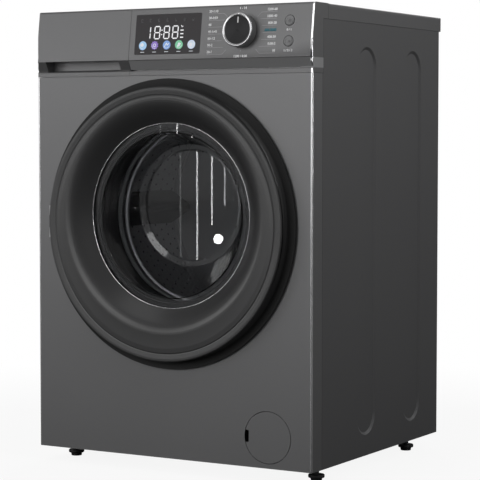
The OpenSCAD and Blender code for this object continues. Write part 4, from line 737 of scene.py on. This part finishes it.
# All places and sizes of the prints are in millimetres.
# Rows of numbers around the knob: rise above its axis, left and right number, how near its leaders come to
# the axis, and how far their last bends go up
DIAL_ROWS = (
    (35.5, "20-1:10", "1200-60", 31, -7.5),
    (23.5, "30-0:59", "1000-40", 37, 0),
    (11.3, "40", "800-20", 41, 0),
    (-1.2, "40-1:45", "600-2000", 43, 0),
    (-13.5, "60-1:2", "400-30", 41, 0),
    (-25.5, "90-2", "0:30-2", 37, 0),
    (-37.8, "30-1", "10", 31, 7.5),
)
ACCENT_NUMBER = "600-2000"
DIAL_REACH = 70.5
DIAL_TICK = (33.5, 36.0)
LEADER_DROP, LEADER_WIDTH = 2.4, 0.42
BUTTON_TEXT_DROP = 8.2
MARK_STROKE = 0.7
# Display: rises above its middle, lifts off the panel's face, and places across from its middle
DIGITS_RISE, HINTS_RISE, SYMBOLS_RISE = -7.6, 26.8, -19.6
DIGITS_LIFT, SYMBOL_LIGHT_LIFT = 0.5, 0.62
DIGIT_PLACES = (-40.8, -29.0, -8.6, 10.0)
ONE_SHIFT = 9.0
HINTS, FIRST_HINT, HINT_STEP = 7, -57.5, 18.4
SYMBOLS = {
    "sky": ((0.42, 0.68, 0.95), -53.0), "violet": ((0.30, 0.20, 0.62), -27.0),
    "blue": ((0.25, 0.42, 0.80), -0.8), "green": ((0.22, 0.62, 0.38), 25.6),
    "pale": ((0.70, 0.78, 0.92), 52.2),
}


class WASHER_OT_controls(bpy.types.Operator):
    """Control fascia, display, knob, buttons and detergent drawer"""

    bl_idname = "washer.controls"
    bl_label = "Controls and drawer"

    def execute(self, context):
        look = context.scene.washer_finishes
        # Panel and drawer take the front colour painted darker, as painted shade, because the sloping panel
        # catches more light
        tone = scaled(look.front_colour, 0.86)
        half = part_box("control_fascia")[1].x
        dress(["control_fascia"],
              satin_paint("panel_paint", tone, rough=0.36, peel=0.01 * MM, edge=half, lip=LIP_HEIGHT))
        dress(["drawer_front", "power_button", "start_button"],
              satin_paint("drawer_paint", tone, rough=0.36, peel=0.01 * MM))
        dress(["filter_cover"], satin_paint("cover_paint", look.front_colour))
        dress(["display_window"],
              moulded("display_lens", (0.045, 0.041, 0.044), rough=0.3, grain=0.0, specular=0.2))
        dress(["program_knob"], knob_finish("knob_black", (0.010, 0.010, 0.011), (0.62, 0.62, 0.63)))
        dress(["drawer_tray", "dispenser_housing", "inlet_valve", "pump_impeller", "door_lock"],
              moulded("white_moulding", (0.72, 0.73, 0.74), rough=0.4))
        dress(["pump_filter", "drain_pump"], moulded("filter_grey", (0.03, 0.03, 0.031)))
        dress(["control_board"], circuit_board("solder_mask", (0.02, 0.12, 0.05)))
        panel = context.scene.washer_panel
        self.print_numbers(panel.label_height)
        self.mark_buttons()
        self.light_display(panel)
        return {"FINISHED"}

    def print_numbers(self, size):
        """Numbers around the knob with their leaders, and numbers under the buttons."""
        knob_x, knob_z = FACE_POINT.x / MM, FACE_POINT.z / MM
        labels, leaders, accent = Print(), Print(), Print()
        for rise, left, right, reach, lean in DIAL_ROWS:
            z = knob_z + rise
            line_z = z - LEADER_DROP
            labels.text(left, knob_x - DIAL_REACH, z, size)
            for way in (-1, 1):
                ends = [(knob_x + way * DIAL_REACH, line_z), (knob_x + way * (reach + abs(lean)), line_z)]
                if lean:
                    ends.append((knob_x + way * reach, line_z + lean))
                leaders.path(ends, LEADER_WIDTH)
            if right == ACCENT_NUMBER:
                accent.text(right, knob_x + DIAL_REACH, z, size, "RIGHT", weight=0.07)
            else:
                labels.text(right, knob_x + DIAL_REACH, z, size, "RIGHT")
        labels.text("1 - 14", knob_x, knob_z + 39.5, size, "CENTER")
        labels.text("1200 / 0:30", knob_x, knob_z - 46.5, size, "CENTER")
        inner, outer = DIAL_TICK
        for way in (-1, 1):
            leaders.line(knob_x, knob_z + way * inner, knob_x, knob_z + way * outer, LEADER_WIDTH)
        for name, words in (("power_button", "0 / 1"), ("start_button", "1 / 2 / 3")):
            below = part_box(name)[0].z / MM - BUTTON_TEXT_DROP
            labels.text(words, middle_of(name).x / MM, below, size * 0.9, "CENTER")
        # The white numbers have a faint painted glow, though they are plain ink
        labels.finish("panel_numbers", printed("white_ink_painted_glow", (0.9, 0.9, 0.91), glow=0.12), "grey_plastic")
        leaders.finish("panel_leaders", printed("grey_ink", (0.5, 0.5, 0.51)), "grey_plastic")
        accent.finish("panel_accent", printed("teal_ink", (0.03, 0.21, 0.27)), "grey_plastic")

    def mark_buttons(self):
        """Shallow rings and the usual signs on the two round buttons."""
        shade = printed("button_marks", (0.22, 0.22, 0.225))
        for name, body in (("power_button", "power"), ("start_button", "start")):
            middle = middle_of(name)
            x, z = middle.x / MM, middle.z / MM
            proud = face_depth(middle.z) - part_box(name)[0].y
            marks = Print(lift=max(0.0, proud / MM - 1.0) + 0.1)
            marks.ring(x, z, 6.6, 0.5)
            if name == "power_button":
                marks.ring(x, z, 2.6, MARK_STROKE, 120, 420)
                marks.line(x, z + 0.4, x, z + 3.6, MARK_STROKE)
            else:
                marks.shape([(x - 2.8, z - 2.2), (x + 0.4, z), (x - 2.8, z + 2.2)])
                for step in (1.4, 3.0):
                    marks.line(x + step, z - 2.1, x + step, z + 2.1, MARK_STROKE)
            marks.finish(name + "_marks", shade, "grey_plastic", body)

    def light_display(self, panel):
        """Digits, small hints above them and five round programme symbols below."""
        middle = middle_of("display_window")
        x0, z0 = middle.x / MM, middle.z / MM
        self.light_digits(panel, x0, z0 + DIGITS_RISE)
        self.light_hints(x0, z0 + HINTS_RISE)
        self.light_symbols(x0, z0 + SYMBOLS_RISE)

    def light_digits(self, panel, x0, z):
        """Four digits, the colon between them and the small signs to their right."""
        digits = Print(lift=DIGITS_LIFT)
        for place, character in zip(DIGIT_PLACES, panel.digits):
            shift = ONE_SHIFT if character == "1" else 0
            lit_digit(digits, character, x0 + place - shift, z, panel.digit_height)
        for rise in (7.5, 15.5):
            digits.disc(x0 - 13.2, z + rise, 1.2, 16)
        for rise in (1.4, 7.9, 14.4):
            digits.line(x0 + 27, z + rise, x0 + 33.5, z + rise, DIGIT_STROKE)
        digits.path([(x0 + 28, z + 23.4), (x0 + 30, z + 20.2), (x0 + 32, z + 22.0)], 1.1)
        digits.finish("display_digits", printed("lit_segment", (0.82, 0.82, 0.84), glow=0.5), "display")

    def light_hints(self, x0, z):
        """A row of small unlit signs."""
        faint = Print(lift=DIGITS_LIFT)
        for i in range(HINTS):
            x = x0 + FIRST_HINT + i * HINT_STEP
            faint.ring(x, z, 2.0, 0.7, 30 * i, 30 * i + 250, 14)
            faint.line(x - 2.2, z - 3.2, x + 2.2, z - 3.2, 0.6)
            if i % 2:
                faint.line(x, z - 1, x, z + 3, 0.6)
        faint.finish("display_hints", printed("unlit_hint", (0.13, 0.13, 0.135)), "display")

    def light_symbols(self, x0, z):
        """Five round coloured symbols, each with a plain sign and a short bar below it."""
        light = Print(lift=SYMBOL_LIGHT_LIFT)
        for tone, (colour, place) in SYMBOLS.items():
            x = x0 + place
            sheet = Print(lift=DIGITS_LIFT)
            if tone == "violet":
                sheet.star(x, z, 8.6, 6.6, 10)
            else:
                sheet.disc(x, z, 8.2)
            light.ring(x, z, 5.6, 0.7, 200 + place, 330 + place, 12)
            light.line(x - 4, z - 12.2, x + 4, z - 12.2, 0.9)
            sheet.finish("symbol_" + tone, printed("symbol_ink_" + tone, colour, glow=0.25), "display")
        light.disc(x0 - 54.2, z + 1.2, 3.4, 20)
        light.ring(x0 - 27.0, z, 2.6, 1.1)
        light.path([(x0 - 5.6, z - 3.4), (x0 - 1.2, z + 3.8), (x0 + 0.4, z - 0.6), (x0 + 4.0, z + 3.0)], 1.5)
        light.shape([(x0 + 21.4, z - 3.6), (x0 + 25.0, z + 4.2), (x0 + 30.0, z + 2.2), (x0 + 26.6, z - 3.2)])
        light.star(x0 + 51.2, z - 0.4, 4.6, 2.4, 6)
        light.finish("symbol_details", printed("symbol_light", (0.86, 0.90, 0.95), glow=0.25), "display")


# Hoop around the glass: radius of its wire and its gap to the ring's mouth, in metres, and its faces
TRIM_WIRE, TRIM_GAP = 0.7 * MM, 0.2 * MM
TRIM_TURNS, TRIM_SIDES = 160, 10


def round_angles(count):
    """Angles that divide a full turn evenly."""
    return [2 * math.pi * i / count for i in range(count)]


class WASHER_OT_door(bpy.types.Operator):
    """Door ring, inner frame, glass bowl, hinge and hook, and the gasket behind"""

    bl_idname = "washer.door"
    bl_label = "Door"

    def execute(self, context):
        look = context.scene.washer_finishes
        centre = middle_of("door_ring")
        dress(["door_ring"], ring_plastic("door_ring_satin", look.door_colour, (0.0, centre.y, centre.z)))
        dress(["door_frame"], moulded("door_frame_black", (0.015, 0.015, 0.016), rough=0.3))
        dress(["door_glass"], smoked_glass("door_glass_smoked", look.glass_tint))
        dress(["door_hinge_arm", "door_hook"], cast_metal("door_zinc", (0.6, 0.6, 0.61), rough=0.4))
        dress(["door_gasket"], rubber("gasket_rubber", (0.03, 0.03, 0.031)))
        add_soft("door_gasket", axis=1, grip=14 * MM)
        self.add_trim()
        return {"FINISHED"}

    def add_trim(self):
        """Thin bright hoop where the glass meets the ring."""
        middle_z = middle_of("door_glass").z
        ring = NODES["door_ring"].data.vertices
        radius, depth = min((math.hypot(v.co.x, v.co.z - middle_z), v.co.y) for v in ring)
        bm = bmesh.new()
        loops = []
        for turn in round_angles(TRIM_TURNS):
            out = Vector((math.cos(turn), 0.0, math.sin(turn)))
            heart = Vector((0.0, depth - TRIM_WIRE, middle_z)) + out * (radius + TRIM_GAP)
            loops.append([
                bm.verts.new(heart + (out * math.cos(side) + Vector((0, math.sin(side), 0))) * TRIM_WIRE)
                for side in round_angles(TRIM_SIDES)])
        for near, far in zip(loops, loops[1:] + loops[:1]):
            for j in range(TRIM_SIDES):
                k = (j + 1) % TRIM_SIDES
                bm.faces.new((near[j], near[k], far[k], far[j]))
        mesh = mesh_from(bm, "door_trim")
        mesh.shade_smooth()
        steel = brushed("trim_steel", (0.75, 0.75, 0.76), (200, 200, 200), rough=0.1)
        add_piece("door_trim", mesh, steel, "door")


class WASHER_OT_drum(bpy.types.Operator):
    """Drum, lifters, spider, shaft, pulleys and belt"""

    bl_idname = "washer.drum"
    bl_label = "Drum"

    def execute(self, context):
        axis = middle_of("drum_shell")
        dress(["drum_shell"], perforated("stainless_drum", (0.6, 0.6, 0.61), (0, axis.y, axis.z)))
        dress(["drum_back"], cast_metal("stainless_back", (0.72, 0.72, 0.73), rough=0.38, metallic=0.5))
        dress(["drum_shaft", "motor_rotor"], brushed("turned_steel", (0.5, 0.5, 0.51), (60, 900, 60)))
        dress(["drum_lifters"], moulded("lifter_grey", (0.12, 0.12, 0.125), rough=0.4))
        dress(["drum_spider", "drum_pulley"], cast_metal("cast_aluminium", (0.58, 0.58, 0.59)))
        dress(["drive_belt", "shaft_seal"], rubber("belt_rubber", (0.025, 0.025, 0.026)))
        return {"FINISHED"}


class WASHER_OT_tub(bpy.types.Operator):
    """Tub halves, counterweights, heater, bearings, motor and suspension"""

    bl_idname = "washer.tub"
    bl_label = "Tub and suspension"

    def execute(self, context):
        dress(["tub_front", "tub_rear"],
              moulded("tub_moulding", (0.55, 0.56, 0.57), rough=0.5, grain=0.06 * MM))
        dress(["upper_counterweight", "lower_counterweight"], concrete("cast_concrete", (0.42, 0.41, 0.39)))
        dress(["heater", "shaft_bearings"],
              brushed("ground_steel", (0.6, 0.6, 0.61), (60, 60, 60), rough=0.3))
        dress(["motor_housing"], cast_metal("motor_casting", (0.45, 0.45, 0.46)))
        dress(["suspension_springs"], cast_metal("spring_steel", (0.35, 0.35, 0.36), rough=0.35))
        add_soft("suspension_springs", axis=2, grip=16 * MM)
        dress(["damper_cylinder_left", "damper_cylinder_right"], moulded("damper_black", (0.03, 0.03, 0.031)))
        dress(["damper_rod_left", "damper_rod_right"], galvanised("damper_zinc", (0.6, 0.6, 0.61)))
        return {"FINISHED"}


class WASHER_OT_plumbing(bpy.types.Operator):
    """Hoses and levelling feet"""

    bl_idname = "washer.plumbing"
    bl_label = "Hoses and feet"

    def execute(self, context):
        dress(["fill_hose", "drain_hose", "sump_hose", "dispenser_hose"],
              rubber("hose_rubber", (0.03, 0.03, 0.031)))
        add_soft("sump_hose", axis=2, grip=16 * MM)
        add_soft("dispenser_hose", axis=2, grip=16 * MM)
        feet = ["foot_front_left", "foot_front_right", "foot_rear_left", "foot_rear_right"]
        dress(feet, moulded("foot_black", (0.016, 0.016, 0.017), rough=0.5))
        return {"FINISHED"}


# Soft lamps: name, place, aim, width and height in metres, and power in watts
SOFT_LAMPS = (
    ("softbox_front", (-0.7, -3.6, 1.4), (0, -0.26, 0.7), (2.0, 2.1), 36),
    ("softbox_left", (-3.7, -3.4, 1.4), (0, -0.26, 0.7), (2.0, 2.1), 36),
    ("back_right", (3.6, 3.0, 2.1), (0.3, 0, 0.8), (2.4, 2.0), 18),
    ("back_fill", (-1.2, 3.8, 1.8), (0, 0.2, 0.6), (2.4, 2.0), 48),
    ("right_strip", (2.3, -0.9, 1.5), (0.3, -0.1, 0.9), (0.14, 1.9), 14),
    ("overhead", (-0.6, -1.2, 3.2), (0, 0, 0.7), (1.8, 1.8), 8),
)
# Thin upright tubes that draw bright lines in the glass: name, x, lower and upper end in metres, and power
TUBES = (
    ("tube_main", -2.10, 0.02, 1.00, 0.16),
    ("tube_middle", -2.03, 0.26, 0.62, 0.06),
    ("tube_right", -1.97, 0.34, 0.56, 0.02),
    ("tube_left", -2.18, 0.05, 0.70, 0.012),
)
TUBES_Y, TUBE_WIDTH = -3.6, 0.004
# Distance from the middle of the floor over which its shadowed part turns white
FLOOR_FADE = (0.75, 1.5)


class WASHER_OT_stage(bpy.types.Operator):
    """Floor, soft lights, world and camera"""

    bl_idname = "washer.stage"
    bl_label = "Stage"

    def execute(self, context):
        stage = context.scene.washer_stage
        scene = context.scene
        scene.view_settings.view_transform = "Standard"
        self.add_floor(stage)
        self.add_world(scene)
        for name, place, target, size, power in SOFT_LAMPS:
            self.add_lamp(name, place, target, size, power)
        for name, x, low, high, power in TUBES:
            place = (x, TUBES_Y, (low + high) / 2)
            self.add_lamp(name, place, (0, -0.2, 0.5), (TUBE_WIDTH, high - low), power)
        self.add_lamp("round_spot", (-2.0, TUBES_Y, 0.205), (0, -0.2, 0.45), (0.036, 0.04), 0.12, "ELLIPSE")
        self.add_camera(stage, scene)
        return {"FINISHED"}

    def add_floor(self, stage):
        """A round floor that the camera sees white and that keeps the machine's shadow."""
        bm = bmesh.new()
        bmesh.ops.create_circle(bm, cap_ends=True, segments=96, radius=stage.floor_radius)
        mesh = bpy.data.meshes.new("studio_floor")
        bm.to_mesh(mesh)
        bm.free()
        floor = bpy.data.objects.new("studio_floor", mesh)
        bpy.context.scene.collection.objects.link(floor)
        material, s = new_material("studio_floor")
        rays = s.rays()
        far = s.vector("LENGTH", s.place()).ramp(*FLOOR_FADE)
        direct = (rays["Is Camera Ray"] + rays["Is Transmission Ray"]).clamped()
        seen = direct * (0.90 + far * 0.10) + rays["Is Glossy Ray"] * (0.01 + far * 0.05)
        tone = s.blend(direct, (0.05, 0.05, 0.05), (0.9, 0.9, 0.9))
        plain = s.add("ShaderNodeBsdfDiffuse", {}, {"Color": tone})[0]
        white = s.add("ShaderNodeEmission", {}, {"Color": (1, 1, 1), "Strength": 1.0})[0]
        both = s.add("ShaderNodeMixShader", {}, {0: seen, 1: plain, 2: white})[0]
        s.add("ShaderNodeOutputMaterial", {}, {"Surface": both})
        mesh.materials.append(material)

    def add_world(self, scene):
        """White for the camera and through glass, and dim as light on the machine."""
        world = bpy.data.worlds.new("studio")
        scene.world = world
        world.use_nodes = True
        s = Shader(world.node_tree)
        rays = s.rays()
        upper = (s.apart(s.add("ShaderNodeTexCoord")[0])[2] * 2.2 + 0.45).clamped()
        glossy = rays["Is Glossy Ray"] * upper * 0.08
        seen = (rays["Is Camera Ray"] + rays["Is Transmission Ray"] + glossy).clamped()
        dim = s.add("ShaderNodeBackground", {}, {"Color": (1, 1, 1), "Strength": 0.2})[0]
        white = s.add("ShaderNodeBackground", {}, {"Color": (1, 1, 1), "Strength": 1.0})[0]
        both = s.add("ShaderNodeMixShader", {}, {0: seen, 1: dim, 2: white})[0]
        s.add("ShaderNodeOutputWorld", {}, {"Surface": both})

    def add_lamp(self, name, place, target, size, power, shape="RECTANGLE"):
        """An area lamp at place that shines towards target."""
        lamp = bpy.data.lights.new(name, "AREA")
        lamp.shape = shape
        lamp.size, lamp.size_y = size
        lamp.energy = power
        holder = bpy.data.objects.new(name, lamp)
        holder.location = place
        direction = Vector(target) - Vector(place)
        holder.rotation_euler = direction.to_track_quat("-Z", "Y").to_euler()
        bpy.context.scene.collection.objects.link(holder)

    def add_camera(self, stage, scene):
        lens = bpy.data.cameras.new("camera")
        lens.lens = stage.lens
        lens.sensor_width = 36.0
        camera = bpy.data.objects.new("camera", lens)
        camera.location = stage.camera_place
        across = math.cos(stage.elevation)
        look = Vector((
            -math.sin(stage.azimuth) * across, math.cos(stage.azimuth) * across, -math.sin(stage.elevation)))
        camera.rotation_euler = look.to_track_quat("-Z", "Y").to_euler()
        scene.collection.objects.link(camera)
        scene.camera = camera


OPERATORS = [
    WASHER_OT_cabinet, WASHER_OT_controls, WASHER_OT_door, WASHER_OT_drum, WASHER_OT_tub,
    WASHER_OT_plumbing, WASHER_OT_stage,
]


class WASHER_PT_sidebar(bpy.types.Panel):
    bl_label = "Washer"
    bl_idname = "WASHER_PT_sidebar"
    bl_space_type = "VIEW_3D"
    bl_region_type = "UI"
    bl_category = "Washer"

    def draw(self, context):
        layout = self.layout
        for group in (context.scene.washer_finishes, context.scene.washer_panel, context.scene.washer_stage):
            box = layout.box()
            for key in group.bl_rna.properties.keys():
                if key not in {"rna_type", "name"}:
                    box.prop(group, key)
        for operator in OPERATORS:
            layout.operator(operator.bl_idname)


GROUPS = [WasherFinishes, WasherPanel, WasherStage]


def register():
    for item in GROUPS + OPERATORS + [WASHER_PT_sidebar]:
        bpy.utils.register_class(item)
    bpy.types.Scene.washer_finishes = PointerProperty(type=WasherFinishes)
    bpy.types.Scene.washer_panel = PointerProperty(type=WasherPanel)
    bpy.types.Scene.washer_stage = PointerProperty(type=WasherStage)


def unregister():
    del bpy.types.Scene.washer_stage
    del bpy.types.Scene.washer_panel
    del bpy.types.Scene.washer_finishes
    for item in reversed(GROUPS + OPERATORS + [WASHER_PT_sidebar]):
        bpy.utils.unregister_class(item)


def main():
    register()
    for operator in OPERATORS:
        family, action = operator.bl_idname.split(".")
        getattr(getattr(bpy.ops, family), action)()


if __name__ == "__main__":
    main()
